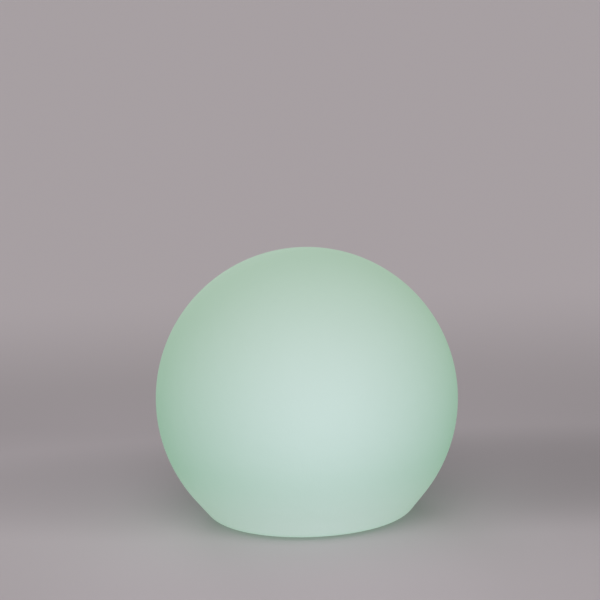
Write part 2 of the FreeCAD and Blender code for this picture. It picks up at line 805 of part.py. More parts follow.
def raise_cap_bosses(body):
    """Two columns in the bar's hollow under the board screws, and four bosses under the cradle's arms."""
    columns = sketch_on(body, "XY_Plane", plate_top)
    for x, y in board_screw_places:
        circle(columns, x, y, size.board_boss_radius)
    pad(body, columns, floor_top - plate_top)
    bosses = sketch_on(body, "XY_Plane", floor_top)
    for x, y in cradle_places:
        circle(bosses, x, y, size.cradle_boss_radius)
    pad(body, bosses, cradle_arm_under - floor_top)


def bore_cap_holes(body):
    """Through holes for the case screws, and blind pilot holes for the board and cradle screws."""
    case = sketch_on(body, "XY_Plane", floor_under)
    for x, y in post_places:
        circle(case, x, y, size.case_screw_radius + size.hole_play)
    pocket(body, case, size.grip_floor, up=True)
    pilot = size.small_screw_radius + size.screw_play
    board = sketch_on(body, "XY_Plane", floor_top)
    for x, y in board_screw_places:
        circle(board, x, y, pilot)
    pocket(body, board, size.small_screw_length - size.board_thickness + size.bore_spare)
    cradle = sketch_on(body, "XY_Plane", cradle_arm_under)
    for x, y in cradle_places:
        circle(cradle, x, y, pilot)
    pocket(body, cradle, size.small_screw_length - size.cradle_arm_thickness + size.bore_spare)


def make_foot_ring():
    """Rubber ring pressed into the groove of the flange."""
    turned_profile(
        "foot_ring",
        (foot_inner + size.foot_bevel, 0),
        (foot_outer - size.foot_bevel, 0),
        (foot_outer, size.foot_bevel),
        (foot_outer, flat + size.foot_seat),
        (foot_inner, flat + size.foot_seat),
        (foot_inner, size.foot_bevel),
    )


# -------------------------------------------------------------- the button, the switch and the charging lamp


def button_face():
    return flat + size.button_inset


def skirt_low():
    return plate_top + size.button_lift


def switch_under():
    return floor_top - size.switch_height


def make_button():
    """Soft button: bevelled face, skirt behind the plate, and a stem up to the switch plunger."""
    face = size.button_hole_radius - size.button_play
    skirt_top = skirt_low() + size.button_skirt
    turned_profile(
        "power_button",
        (0, button_face()),
        (face - size.button_bevel, button_face()),
        (face, button_face() + size.button_bevel),
        (face, skirt_low()),
        (skirt_radius, skirt_low()),
        (skirt_radius, skirt_top),
        (size.button_stem_radius, skirt_top),
        (size.button_stem_radius, switch_under() - size.plunger_reach),
        (0, switch_under() - size.plunger_reach),
    )
    plunger = rod(
        "switch_plunger",
        0,
        0,
        switch_under() - size.plunger_reach,
        size.plunger_radius,
        size.plunger_reach + size.plunger_hold,
    )
    keep(plunger, "switch_plunger")


def make_button_retainer():
    """Ring fixed to the plate that keeps the button's skirt in."""
    roof = skirt_low() + size.button_skirt + size.button_travel + size.retainer_clearance
    turned_profile(
        "button_retainer",
        (retainer_inner, plate_top),
        (retainer_radius, plate_top),
        (retainer_radius, roof + size.retainer_roof),
        (size.retainer_bore, roof + size.retainer_roof),
        (size.retainer_bore, roof),
        (retainer_inner, roof),
    )


def make_switch():
    """Push switch that hangs under the board, hollow for its plunger."""
    side = size.switch_size
    body = block("switch_block", 0, 0, switch_under(), side, side, size.switch_height)
    hole = rod(
        "switch_hole",
        0,
        0,
        switch_under(),
        size.plunger_radius + size.plunger_play,
        size.plunger_hold + size.button_travel + size.plunger_play,
    )
    keep(cut("switch_cut", body, hole), "switch_body")


def make_charge_lamp():
    """Light pipe through the plate, and the lamp above it under the board."""
    lamp_low = floor_top - size.lamp_height
    pipe_top = lamp_low - size.pipe_gap
    pipe = rod("pipe_rod", size.pipe_x, 0, flat, size.pipe_radius, pipe_top - flat)
    collar = rod("pipe_ring", size.pipe_x, 0, plate_top, size.pipe_collar_radius, size.pipe_collar)
    keep(fuse("pipe_solid", pipe, collar), "light_pipe")
    lens = doc.addObject("Part::Sphere", "lamp_tip")
    bind(lens, "Radius", size.lamp_radius)
    bind(lens, "Placement.Base.x", size.pipe_x)
    bind(lens, "Placement.Base.z", lamp_low + size.lamp_radius)
    barrel = rod(
        "lamp_barrel",
        size.pipe_x,
        0,
        lamp_low + size.lamp_radius,
        size.lamp_radius,
        size.lamp_height - size.lamp_radius,
    )
    keep(fuse("lamp_solid", lens, barrel), "charge_lamp")


# ---------------------------------------------------------------- the charging socket and its cover


def cover_low():
    return flat + size.cover_play


def make_socket():
    """Round charging socket that hangs under the board, with its centre pin as a separate piece."""
    low = plate_top + size.socket_lift
    length, width = size.socket_length, size.socket_width
    case = block("socket_block", size.socket_x, 0, low, length, width, floor_top - low)
    mouth = rod("socket_mouth", size.socket_x, 0, low, size.socket_bore, size.socket_depth)
    keep(cut("socket_cut", case, mouth), "charging_socket")
    pin_low = low + size.socket_pin_setback
    pin = rod(
        "socket_pin",
        size.socket_x,
        0,
        pin_low,
        size.socket_pin_radius,
        low + size.socket_depth - pin_low,
    )
    keep(pin, "socket_pin")


def make_socket_cover():
    """Soft flap with a rounded end, a bead along its hinge and a tapered plug for the socket's mouth."""
    half = size.cover_width / 2
    middle = cover_low() + size.cover_thickness / 2
    body = new_body("socket_cover")
    flap = sketch_on(body, "XY_Plane", cover_low())
    outline(
        flap,
        (cover_hinge_x(), -half),
        (size.socket_x, -half),
        (size.socket_x, half, "half", 1),
        (cover_hinge_x(), half),
    )
    pad(body, flap, size.cover_thickness)
    bead = sketch_on(body, "XZ_Plane")
    circle(bead, cover_hinge_x(), middle, size.cover_thickness / 2)
    pad(body, bead, size.cover_width, both_ways=True)
    plug = sketch_on(body, "XY_Plane", cover_low() + size.cover_thickness)
    circle(plug, size.socket_x, 0, size.socket_bore - size.cover_plug_play)
    tapered = pad(body, plug, size.cover_plug_height)
    slope = size.cover_plug_taper / size.cover_plug_height
    tapered.setExpression("TaperAngle", f"-atan({slope.text})")


def make_cover_root():
    """The fixed end of the cover: a strip beside the hinge with a stem and head through the plate."""
    x = root_stem_x()
    length, width = size.root_length, size.cover_width
    strip = block("root_strip", x, 0, cover_low(), length, width, size.cover_thickness)
    seat = cover_low() + size.cover_thickness
    stem = rod("root_stem", x, 0, seat, size.root_stem_radius, plate_top - seat)
    head = rod("root_head", x, 0, plate_top, size.root_head_radius, size.root_head)
    keep(fuse("root_solid", strip, stem, head), "cover_root")


# ---------------------------------------------------------------- the control board


def make_control_board():
    """Board with rounded corners that lies on the cap's floor over the hollow bar."""
    body = new_body("control_board")
    sketch = sketch_on(body, "XY_Plane", floor_top)
    rounded_rectangle(sketch, board_half_length, board_half_width, size.board_corner)
    for x, y in board_screw_places:
        circle(sketch, x, y, size.small_screw_radius + size.hole_play)
    pad(body, sketch, size.board_thickness)


def make_board_parts():
    """Chip, coil, lamp drivers and capacitors on the upper side of the board."""
    length, width = size.chip_length, size.chip_width
    keep(block("chip_block", size.chip_x, 0, board_top, length, width, size.chip_height), "control_chip")
    coil = block("coil_block", size.coil_x, 0, board_top, size.coil_size, size.coil_size, size.coil_height)
    keep(coil, "power_coil")
    drivers = []
    for number in range(DRIVER_COUNT):
        column, row = divmod(number, 2)
        x = size.driver_x + size.driver_pitch * column
        y = size.driver_pitch * row - size.driver_pitch / 2
        side = size.driver_size
        drivers.append(block(f"driver_{number}", x, y, board_top, side, side, size.driver_height))
    group("lamp_drivers", drivers)
    radius = size.capacitor_radius
    y = radius + size.capacitor_edge - board_half_width
    cans = []
    for number, x in enumerate((size.capacitor_x, -size.capacitor_x)):
        cans.append(rod(f"capacitor_{number}", x, y, board_top, radius, size.capacitor_height))
    group("capacitors", cans)


# ---------------------------------------------------------------- the battery


def laid_rod(name, x, radius, length):
    """A cylinder along X at the height of the cell, from x."""
    made = doc.addObject("Part::Cylinder", name)
    made.Placement = FreeCAD.Placement(FreeCAD.Vector(), FreeCAD.Rotation(FreeCAD.Vector(0, 1, 0), 90))
    bind(made, "Radius", radius)
    bind(made, "Height", length)
    bind(made, "Placement.Base.x", x)
    bind(made, "Placement.Base.z", cell_middle)
    return made


def make_cell():
    """Round cell along X, with bevelled ends, a rolled bead and a raised contact at its +X end."""
    half = size.cell_length / 2
    low, high = cell_middle, cell_middle + size.cell_radius
    bead = half - size.cell_bead_place
    floor_of_bead = high - size.cell_bead_depth
    body = new_body("battery_cell")
    sketch = sketch_on(body, "XZ_Plane")
    outline(
        sketch,
        (half + size.cell_cap_height, low),
        (half + size.cell_cap_height, low + size.cell_cap_radius),
        (half, low + size.cell_cap_radius),
        (half, high - size.cell_bevel),
        (half - size.cell_bevel, high),
        (bead + size.cell_bead_depth, high),
        (bead, floor_of_bead),
        (bead - size.cell_bead_depth, high),
        (size.cell_bevel - half, high),
        (-half, high - size.cell_bevel),
        (-half, low),
    )
    revolve(body, sketch, "Edge1")


def make_cradle():
    """Trough that cups the lower half of the cell, on two arms that lie on the cap's bosses."""
    inner = size.cell_radius + size.cell_play
    outer = inner + size.cradle_wall
    body = new_body("battery_cradle")
    trough = sketch_on(body, "YZ_Plane")
    outline(
        trough,
        (-outer, cell_middle),
        (outer, cell_middle, "half", 1),
        (inner, cell_middle),
        (-inner, cell_middle, "half", -1),
    )
    pad(body, trough, size.cradle_length, both_ways=True)
    arms = sketch_on(body, "XY_Plane", cradle_arm_under)
    half = size.cradle_arm_width / 2
    end = cradle_screw_y + size.cradle_boss_radius
    for x in (size.cradle_arm_x, -size.cradle_arm_x):
        rectangle(arms, x - half, -end, x + half, end)
    pad(body, arms, size.cradle_arm_thickness)
    clear_cell(body, inner)
    holes = sketch_on(body, "XY_Plane", cradle_arm_under)
    for x, y in cradle_places:
        circle(holes, x, y, size.small_screw_radius + size.hole_play)
    pocket(body, holes, size.cradle_arm_thickness, up=True)


def clear_cell(body, radius):
    """Opens the arms where they would cross the cell."""
    sketch = sketch_on(body, "YZ_Plane", -size.cradle_length / 2)
    circle(sketch, 0, cell_middle, radius)
    doc.recompute()
    made = feature(body, "Pocket", sketch)
    made.Reversed = True
    bind(made, "Length", size.cradle_length)


def make_battery_extras():
    """Foam pad over the cell, and the nickel tabs on its ends."""
    pad_low = cell_middle + size.cell_radius - size.pad_skirt
    foam = block("pad_block", 0, 0, pad_low, size.pad_length, size.pad_width, deck_under - pad_low)
    hollow = laid_rod("pad_hollow", -size.pad_length / 2, size.cell_radius + size.pad_play, size.pad_length)
    keep(cut("pad_cut", foam, hollow), "battery_pad")
    half = size.cell_length / 2
    low = cell_middle - size.tab_height / 2
    raised = half + size.cell_cap_height + size.tab_thickness / 2
    flat_end = -half - size.tab_thickness / 2
    ends = []
    for name, x in (("tab_raised", raised), ("tab_flat", flat_end)):
        ends.append(block(name, x, 0, low, size.tab_thickness, size.tab_width, size.tab_height))
    group("battery_tabs", ends)


# ---------------------------------------------------------------- leads, plugs and headers


def make_headers():
    """Battery header with its plug, and the two headers of the flat cable."""
    header = block(
        "battery_header_block",
        size.header_x,
        header_y(),
        board_top,
        size.header_length,
        size.header_width,
        size.header_height,
    )
    keep(header, "battery_header")
    plug = block(
        "battery_plug_block",
        size.header_x,
        header_y(),
        board_top + size.header_height,
        size.header_length - 2 * size.plug_inset,
        size.header_width - 2 * size.plug_inset,
        size.plug_height,
    )
    keep(plug, "battery_plug")
    lower = block(
        "lower_header",
        0,
        lower_header_y(),
        board_top,
        size.cable_header_width,
        size.cable_header_depth,
        size.cable_header_height,
    )
    upper = block(
        "upper_header",
        0,
        upper_header_y(),
        led_board_top,
        size.cable_header_width,
        size.cable_header_depth,
        size.cable_header_height,
    )
    group("cable_headers", [lower, upper])


def header_y():
    return board_half_width - size.header_edge - size.header_width / 2


def lower_header_y():
    return size.cable_header_edge + size.cable_header_depth / 2 - board_half_width


def upper_header_y():
    return size.led_notch_depth - led_board_radius + size.cable_header_depth / 2 + size.hole_play


def rounded_path(points):
    """Straight runs through the points, joined by tangent arcs as large as the runs allow."""
    edges, at = [], points[0]
    for before, corner, after in zip(points, points[1:], points[2:]):
        arriving, leaving = corner - before, after - corner
        turn = arriving.getAngle(leaving)
        back = ARC_SHARE * min(arriving.Length, leaving.Length)
        radius = back / math.tan(turn / 2)
        arriving.normalize()
        leaving.normalize()
        first, last = corner - arriving * back, corner + leaving * back
        inward = (leaving - arriving).normalize()
        middle = corner + inward * (math.hypot(radius, back) - radius)
        edges += [Part.makeLine(at, first), Part.Arc(first, middle, last).toShape()]
        at = last
    edges.append(Part.makeLine(at, points[-1]))
    return Part.Wire(edges)


def swept(label, points, section):
    """A Part::Feature swept along the rounded path through the points."""
    path = rounded_path(points)
    solid = path.makePipeShell([section], True, False)
    expected = Part.Face(section).Area * path.Length
    if abs(solid.Volume - expected) > VOLUME_SLACK * expected:
        raise ValueError(f"{label} has the wrong volume for its length")
    made = doc.addObject("Part::Feature", label)
    made.Shape = solid
    return keep(made, label)


def make_leads():
    """Two battery leads, soldered along the tabs on the cell and brought round to the top of the plug."""
    radius = size.lead_radius.value
    sway = size.lead_sway.value
    plug_top = (board_top + size.header_height + size.plug_height).value
    plug_y = header_y().value
    cell_end = size.cell_length.value / 2
    beside_tab = size.tab_thickness.value + radius
    tab_low = (cell_middle - size.tab_height / 2).value + radius
    solder_y = radius - size.tab_width.value / 2
    over_plug = plug_top + size.lead_drop.value

    def lead(label, tab_x, side, between):
        plug_x = size.header_x.value + side * size.lead_spread.value
        points = [
            FreeCAD.Vector(tab_x, solder_y, tab_low),
            FreeCAD.Vector(tab_x, size.cell_radius.value, tab_low),
            *(FreeCAD.Vector(x, plug_y - sway, over_plug + sway) for x in between),
            FreeCAD.Vector(plug_x, plug_y, over_plug),
            FreeCAD.Vector(plug_x, plug_y, plug_top),
        ]
        swept(label, points, Part.Wire(Part.makeCircle(radius, points[0], points[1] - points[0])))

    turn = size.lead_turn.value
    raised = cell_end + size.cell_cap_height.value + beside_tab
    landing = size.header_x.value + size.lead_landing.value
    lead("battery_lead_positive", raised, 1, [raised - turn, landing])
    lead("battery_lead_negative", -cell_end - beside_tab, -1, [turn - cell_end - beside_tab])


def make_cable():
    """Flat cable from the control board up through the deck to the light board."""
    low_y = lower_header_y().value
    hole_y = -cable_hole_offset().value
    low = (board_top + size.cable_header_height).value
    bend = low + size.cable_rise.value
    high = (led_board_top + size.cable_header_height / 2).value
    points = [
        FreeCAD.Vector(0, low_y, low),
        FreeCAD.Vector(0, low_y, bend),
        FreeCAD.Vector(0, hole_y, bend + size.cable_slant.value),
        FreeCAD.Vector(0, hole_y, high),
        FreeCAD.Vector(0, (upper_header_y() - size.cable_header_depth / 2).value, high),
    ]
    half_width = size.cable_width.value / 2
    half = size.cable_thickness.value / 2
    corners = [
        FreeCAD.Vector(x, low_y + y, low)
        for x, y in ((-half_width, -half), (half_width, -half), (half_width, half), (-half_width, half))
    ]
    swept("light_cable", points, Part.makePolygon(corners + corners[:1]))


# ---------------------------------------------------------------- the tower, the light board and the dome


def make_tower():
    """Inverted cup over the electronics: foot in the collar, ledge on its rim, leaning wall and flat deck."""
    ledge_top = collar_top + size.tower_ledge
    groove_low = deck + size.groove_height
    groove_in = spigot_radius - size.groove_depth
    spigot_bore = spigot_radius - size.spigot_wall
    body = turned_profile(
        "light_tower",
        (0, deck_under),
        (tower_top_radius - size.tower_wall, deck_under),
        (bay_radius, ledge_top),
        (bay_radius, floor_top),
        (tower_foot_bore, floor_top),
        (tower_foot_bore, collar_top),
        (collar_radius, collar_top),
        (collar_radius, ledge_top),
        (tower_foot_radius, ledge_top),
        (tower_top_radius, deck - size.tower_round),
        (tower_top_radius - size.tower_round, deck, size.tower_round, 1),
        (spigot_radius, deck),
        (spigot_radius, groove_low),
        (groove_in, groove_low),
        (groove_in, groove_low + size.groove_width),
        (spigot_radius, groove_low + size.groove_width),
        (spigot_radius, deck + size.spigot_height),
        (spigot_bore, deck + size.spigot_height),
        (spigot_bore, deck),
        (0, deck),
    )
    add_nibs(body)
    add_posts(body)
    bore_deck(body)


def add_nibs(body):
    """Snap nibs round the spigot that hold the dome down."""
    sketch = sketch_on(body, "XY_Plane", deck + size.nib_height)
    half = size.nib_width / 2
    inside = spigot_radius - size.spigot_wall / 2
    rectangle(sketch, inside, -half, spigot_radius + size.nib_reach, half)
    repeat(body, [pad(body, sketch, size.nib_thickness)], NIB_COUNT)


def add_posts(body):
    """Screw posts down to the cap's floor, and short bosses for the light board's screws."""
    posts = sketch_on(body, "XY_Plane", floor_top)
    for x, y in post_places:
        circle(posts, x, y, size.post_radius)
    pad(body, posts, deck_under - floor_top)
    bosses = sketch_on(body, "XY_Plane", deck_under - size.led_boss_length)
    for x, y in led_boss_places:
        circle(bosses, x, y, size.led_boss_radius)
    pad(body, bosses, size.led_boss_length)


def bore_deck(body):
    """Pilot holes in the posts and bosses, and the cable hole."""
    posts = sketch_on(body, "XY_Plane", floor_top)
    for x, y in post_places:
        circle(posts, x, y, size.case_screw_radius + size.screw_play)
    pocket(body, posts, size.case_screw_length - size.grip_floor + size.bore_spare, up=True)
    bosses = sketch_on(body, "XY_Plane", deck)
    for x, y in led_boss_places:
        circle(bosses, x, y, size.small_screw_radius + size.screw_play)
    pocket(body, bosses, size.small_screw_length - size.led_board_thickness + size.bore_spare)
    cable = sketch_on(body, "XY_Plane", deck)
    circle(cable, 0, -cable_hole_offset(), size.cable_hole_radius)
    pocket(body, cable, size.tower_wall)


def cable_hole_offset():
    return led_board_radius - size.cable_inset


def make_light_board():
    """Round light board inside the spigot, notched for the cable."""
    body = new_body("light_board")
    disc = sketch_on(body, "XY_Plane", deck)
    circle(disc, 0, 0, led_board_radius)
    for x, y in led_boss_places:
        circle(disc, x, y, size.small_screw_radius + size.hole_play)
    pad(body, disc, size.led_board_thickness)
    notch = sketch_on(body, "XY_Plane", led_board_top)
    half = size.led_notch_width / 2
    rectangle(notch, -half, -spigot_radius, half, size.led_notch_depth - led_board_radius)
    pocket(body, notch, size.led_board_thickness)


def make_lamps():
    """Square lamps in two rings."""
    places = ring_places(led_screw_circle - size.led_ring_inset, OUTER_LED_COUNT, OUTER_LED_ANGLE)
    places += ring_places(size.inner_led_circle, INNER_LED_COUNT, INNER_LED_ANGLE)
    side = size.led_size
    lamps = []
    for number, (x, y) in enumerate(places):
        lamps.append(block(f"led_{number}", x, y, led_board_top, side, side, size.led_height))
    group("lamps", lamps)


def make_receiver():
    """The remote control's receiver: a square case with a round eye on top."""
    eye_middle = led_board_top + size.receiver_height - size.receiver_eye_radius
    length, depth = size.receiver_width, size.receiver_depth
    case = block("receiver_case", 0, 0, led_board_top, length, depth, eye_middle - led_board_top)
    eye = doc.addObject("Part::Sphere", "receiver_eye")
    bind(eye, "Radius", size.receiver_eye_radius)
    bind(eye, "Placement.Base.z", eye_middle)
    keep(fuse("receiver_solid", case, eye), "remote_receiver")


def make_dome():
    """Frosted dome: straight skirt over the spigot, tangent shoulder and crown, and a window for each nib."""
    wall = size.dome_wall
    inner = spigot_radius + size.dome_play
    outer = inner + wall
    low = deck + size.dome_lift
    crown_middle = deck + size.dome_height - size.dome_crown
    shoulder_x = outer - size.dome_shoulder
    spread = size.dome_crown - size.dome_shoulder
    shoulder_rise = root(spread * spread - shoulder_x * shoulder_x)
    shoulder_z = crown_middle + shoulder_rise
    inner_crown = size.dome_crown - wall
    inner_shoulder = size.dome_shoulder - wall

    def joint_of(crown):
        """Where the shoulder runs into a crown of that radius."""
        return shoulder_x * crown / spread, crown_middle + shoulder_rise * crown / spread

    body = turned_profile(
        "light_dome",
        (0, crown_middle + inner_crown, "axis", 1),
        (0, crown_middle + size.dome_crown),
        (*joint_of(size.dome_crown), "axis", -1),
        (outer, shoulder_z, size.dome_shoulder, -1),
        (outer, low),
        (inner, low),
        (inner, shoulder_z),
        (*joint_of(inner_crown), inner_shoulder, 1),
    )
    sketch = sketch_on(body, "XY_Plane", deck + size.nib_height - size.nib_play)
    half = size.nib_width / 2 + size.nib_play
    rectangle(sketch, inner - wall / 2, -half, outer + wall, half)
    window = pocket(body, sketch, size.nib_thickness + 2 * size.nib_play, up=True)
    repeat(body, [window], NIB_COUNT)


def make_dome_seal():
    """Square rubber ring in the spigot's groove."""
    play = size.dome_seal_play
    low = deck + size.groove_height
    inner = spigot_radius - size.groove_depth + play
    outer = spigot_radius + size.dome_play - play
    square_ring("dome_seal", inner, outer, low + play, low + size.groove_width - play)


def make_screws():
    """Case, board, cradle and light-board screws."""
    screws(
        "case_screws",
        post_places,
        floor_under,
        size.case_screw_radius,
        size.case_screw_head,
        size.case_screw_head_height,
        size.case_screw_length,
        True,
    )
    small = (
        size.small_screw_radius,
        size.small_screw_head,
        size.small_screw_head_height,
        size.small_screw_length,
        False,
    )
    screws("board_screws", board_screw_places, board_top, *small)
    screws("cradle_screws", cradle_places, cradle_arm_under + size.cradle_arm_thickness, *small)
    screws("light_board_screws", led_boss_places, led_board_top, *small)


def check_and_write():
    """Stops if anything failed, then writes each sub-part to its own STEP file."""
    doc.recompute()
    failed = [o.Label for o in doc.Objects if {"Invalid", "Error"} & set(o.State)]
    if failed:
        raise ValueError(f"these failed: {failed}")
    os.makedirs("parts", exist_ok=True)
    for piece in sub_parts:
        shape = piece.Shape
        if shape.isNull() or not shape.isValid() or shape.Volume <= 0:
            raise ValueError(f"{piece.Label} is not a valid solid")
        shape.exportStep(f"parts/{piece.Label}.step")
        print(f"{piece.Label}: {len(shape.Solids)} solid(s), {shape.Volume:.1f} mm3")


make_globe()
make_seals()
make_base_cap()
make_foot_ring()
make_button()
make_button_retainer()
make_switch()
make_charge_lamp()
make_socket()
make_socket_cover()
make_cover_root()
make_control_board()
make_board_parts()
make_cell()
make_cradle()
make_battery_extras()
make_headers()
make_leads()
make_cable()
make_tower()
make_light_board()
make_lamps()
make_receiver()
make_dome()
make_dome_seal()
make_screws()
check_and_write()
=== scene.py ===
"""Looks of the garden globe light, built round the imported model. Metres, in the model's own frame."""

import json
import math

import bmesh
import bpy
from mathutils import Matrix, Vector


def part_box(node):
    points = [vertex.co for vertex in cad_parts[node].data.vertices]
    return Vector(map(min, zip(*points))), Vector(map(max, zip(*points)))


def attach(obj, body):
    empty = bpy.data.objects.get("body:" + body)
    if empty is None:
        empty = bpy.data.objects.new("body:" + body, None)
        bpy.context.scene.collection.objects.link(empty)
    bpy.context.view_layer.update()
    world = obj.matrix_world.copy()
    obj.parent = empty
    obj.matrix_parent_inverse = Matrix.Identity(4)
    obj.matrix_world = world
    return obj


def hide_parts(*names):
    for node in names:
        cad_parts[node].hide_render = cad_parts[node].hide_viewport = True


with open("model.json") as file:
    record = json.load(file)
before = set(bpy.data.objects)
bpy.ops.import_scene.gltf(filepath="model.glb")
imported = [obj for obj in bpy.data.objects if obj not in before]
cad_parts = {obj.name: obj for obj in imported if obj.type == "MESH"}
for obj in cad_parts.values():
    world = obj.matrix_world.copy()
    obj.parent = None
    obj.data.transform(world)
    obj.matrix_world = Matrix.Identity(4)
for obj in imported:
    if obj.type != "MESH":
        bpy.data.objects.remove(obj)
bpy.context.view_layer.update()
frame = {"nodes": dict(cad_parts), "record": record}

MM = 0.001
FULL_TURN = 2 * math.pi
HALF_TURN = math.pi
QUARTER_TURN = math.pi / 2


# ---------------------------------------------------------------- sizes shared by the pieces

GLOBE_RADIUS = 100 * MM
GLOBE_WALL = 2.5 * MM
FLANK_ANGLE = math.radians(39)
HEEL_RADIUS = 12 * MM
RECESS_DEPTH = 7 * MM
RECESS_BEVEL = 1.2 * MM
NECK_WALL = 3 * MM
NECK_HEIGHT = 14 * MM
SEAL_PLAY = 0.1 * MM
GASKET_INSET = 0.2 * MM
GASKET_WIDTH = 3.6 * MM
RING_SECTION = 2.4 * MM
SEAL_SECTION = 1.2 * MM
FOOT_WIDTH = 4.6 * MM
THREAD_ROOM = 2.2 * MM
THREAD_PITCH = 5 * MM
THREAD_TURNS = 2
THREAD_REACH = 1.7 * MM
THREAD_START = 2.4 * MM
THREAD_ROOT = 2.4 * MM
THREAD_CREST = 1.1 * MM
COLLAR_TURNS = 1.75

globe_low, globe_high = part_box("globe_shell")
flat_height = globe_low.z
globe_middle = globe_high.z - GLOBE_RADIUS
shelf_height = flat_height + RECESS_DEPTH
recess_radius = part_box("corner_ring_seal")[1].x + SEAL_PLAY
neck_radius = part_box("flat_gasket")[1].x - GASKET_WIDTH - GASKET_INSET
collar_radius = neck_radius - THREAD_ROOM


# ---------------------------------------------------------------- camera and lamps

VIEW_ELEVATION = math.radians(12.45)
VIEW_DISTANCE = 14 * GLOBE_RADIUS
VIEW_ROLL = math.radians(-2.03)
SENSOR_WIDTH = 36
# In the photograph's pixels: the frame's width, the globe's radius, and its middle from the frame's middle.
FRAME_PIXELS = 600
GLOBE_PIXELS = 150.9
GLOBE_OFF_CENTRE = Vector((6.8, -97.6))
BOX_COLOUR = (0.95, 0.88, 1.0)
ROOM_COLOUR = (1.0, 0.965, 0.98)
ROOM_LEVEL = 0.45
TOP_LEVEL = 0.22
TOP_SPREAD = math.radians(40)


def add_camera():
    """Sets the camera so that the globe has its place and size in the photograph's frame."""
    focal_pixels = GLOBE_PIXELS / math.tan(math.asin(GLOBE_RADIUS / VIEW_DISTANCE))
    data = bpy.data.cameras.new("camera")
    data.sensor_width = SENSOR_WIDTH
    data.lens = SENSOR_WIDTH * focal_pixels / FRAME_PIXELS
    camera = bpy.data.objects.new("camera", data)
    bpy.context.scene.collection.objects.link(camera)
    toward = Vector((0, math.cos(VIEW_ELEVATION), -math.sin(VIEW_ELEVATION)))
    camera.location = Vector((0, 0, globe_middle)) - toward * VIEW_DISTANCE
    upright = toward.to_track_quat("-Z", "Y").to_matrix()
    seen_at = Vector((*GLOBE_OFF_CENTRE, -focal_pixels))
    aside = Vector((0, 0, -1)).rotation_difference(seen_at.normalized()).to_matrix()
    rolled = upright @ Matrix.Rotation(VIEW_ROLL, 3, "Z") @ aside.inverted()
    camera.rotation_mode = "QUATERNION"
    camera.rotation_quaternion = rolled.to_quaternion()
    bpy.context.scene.camera = camera


def add_lamp(name, kind, colour, azimuth, elevation, distance):
    """A lamp turned to the globe's middle. azimuth is degrees to the right of the camera's side."""
    data = bpy.data.lights.new(name, kind)
    data.color = colour
    lamp = bpy.data.objects.new(name, data)
    lamp.visible_camera = False
    lamp.visible_glossy = False
    bpy.context.scene.collection.objects.link(lamp)
    side, up = math.radians(azimuth), math.radians(elevation)
    source = Vector((math.sin(side) * math.cos(up), -math.cos(side) * math.cos(up), math.sin(up)))
    lamp.location = Vector((0, 0, globe_middle)) + source * distance
    lamp.rotation_mode = "QUATERNION"
    lamp.rotation_quaternion = source.to_track_quat("Z", "Y")
    return data


def add_box_lamp(name, level, azimuth, elevation, distance, size, spread):
    """A soft box of size (across, up) that faces the globe. Its light keeps within spread degrees."""
    box = add_lamp(name, "AREA", BOX_COLOUR, azimuth, elevation, distance)
    box.shape = "RECTANGLE"
    box.size, box.size_y = size
    box.spread = math.radians(spread)
    box.energy = level * (math.pi * (distance - GLOBE_RADIUS)) ** 2


def add_lights():
    """The even light of the room, a soft one from above, and soft boxes before and behind the globe."""
    add_box_lamp("front_box", level=0.059, azimuth=6, elevation=3, distance=0.53, size=(0.2, 0.14), spread=50)
    add_box_lamp("back_box", level=0.034, azimuth=195, elevation=24, distance=0.7, size=(0.4, 0.3), spread=50)
    above = add_lamp("top_light", "SUN", ROOM_COLOUR, azimuth=0, elevation=52, distance=2)
    above.energy = TOP_LEVEL * math.pi
    above.angle = TOP_SPREAD
    world = bpy.data.worlds.new("room")
    world.use_nodes = True
    background = world.node_tree.nodes["Background"]
    background.inputs["Color"].default_value = (*ROOM_COLOUR, 1)
    background.inputs["Strength"].default_value = ROOM_LEVEL
    bpy.context.scene.world = world


# ---------------------------------------------------------------- materials

NOISE_RANGE = (0.3, 0.7)


def linear(red, green, blue):
    """A colour given in 0 to 255 screen values, as the linear values that a shader takes (the sRGB curve)."""

    def one(value):
        share = value / 255
        return share / 12.92 if share <= 0.04045 else ((share + 0.055) / 1.055) ** 2.4

    return (one(red), one(green), one(blue))


def darker(colour, share):
    return tuple(c * share for c in colour)


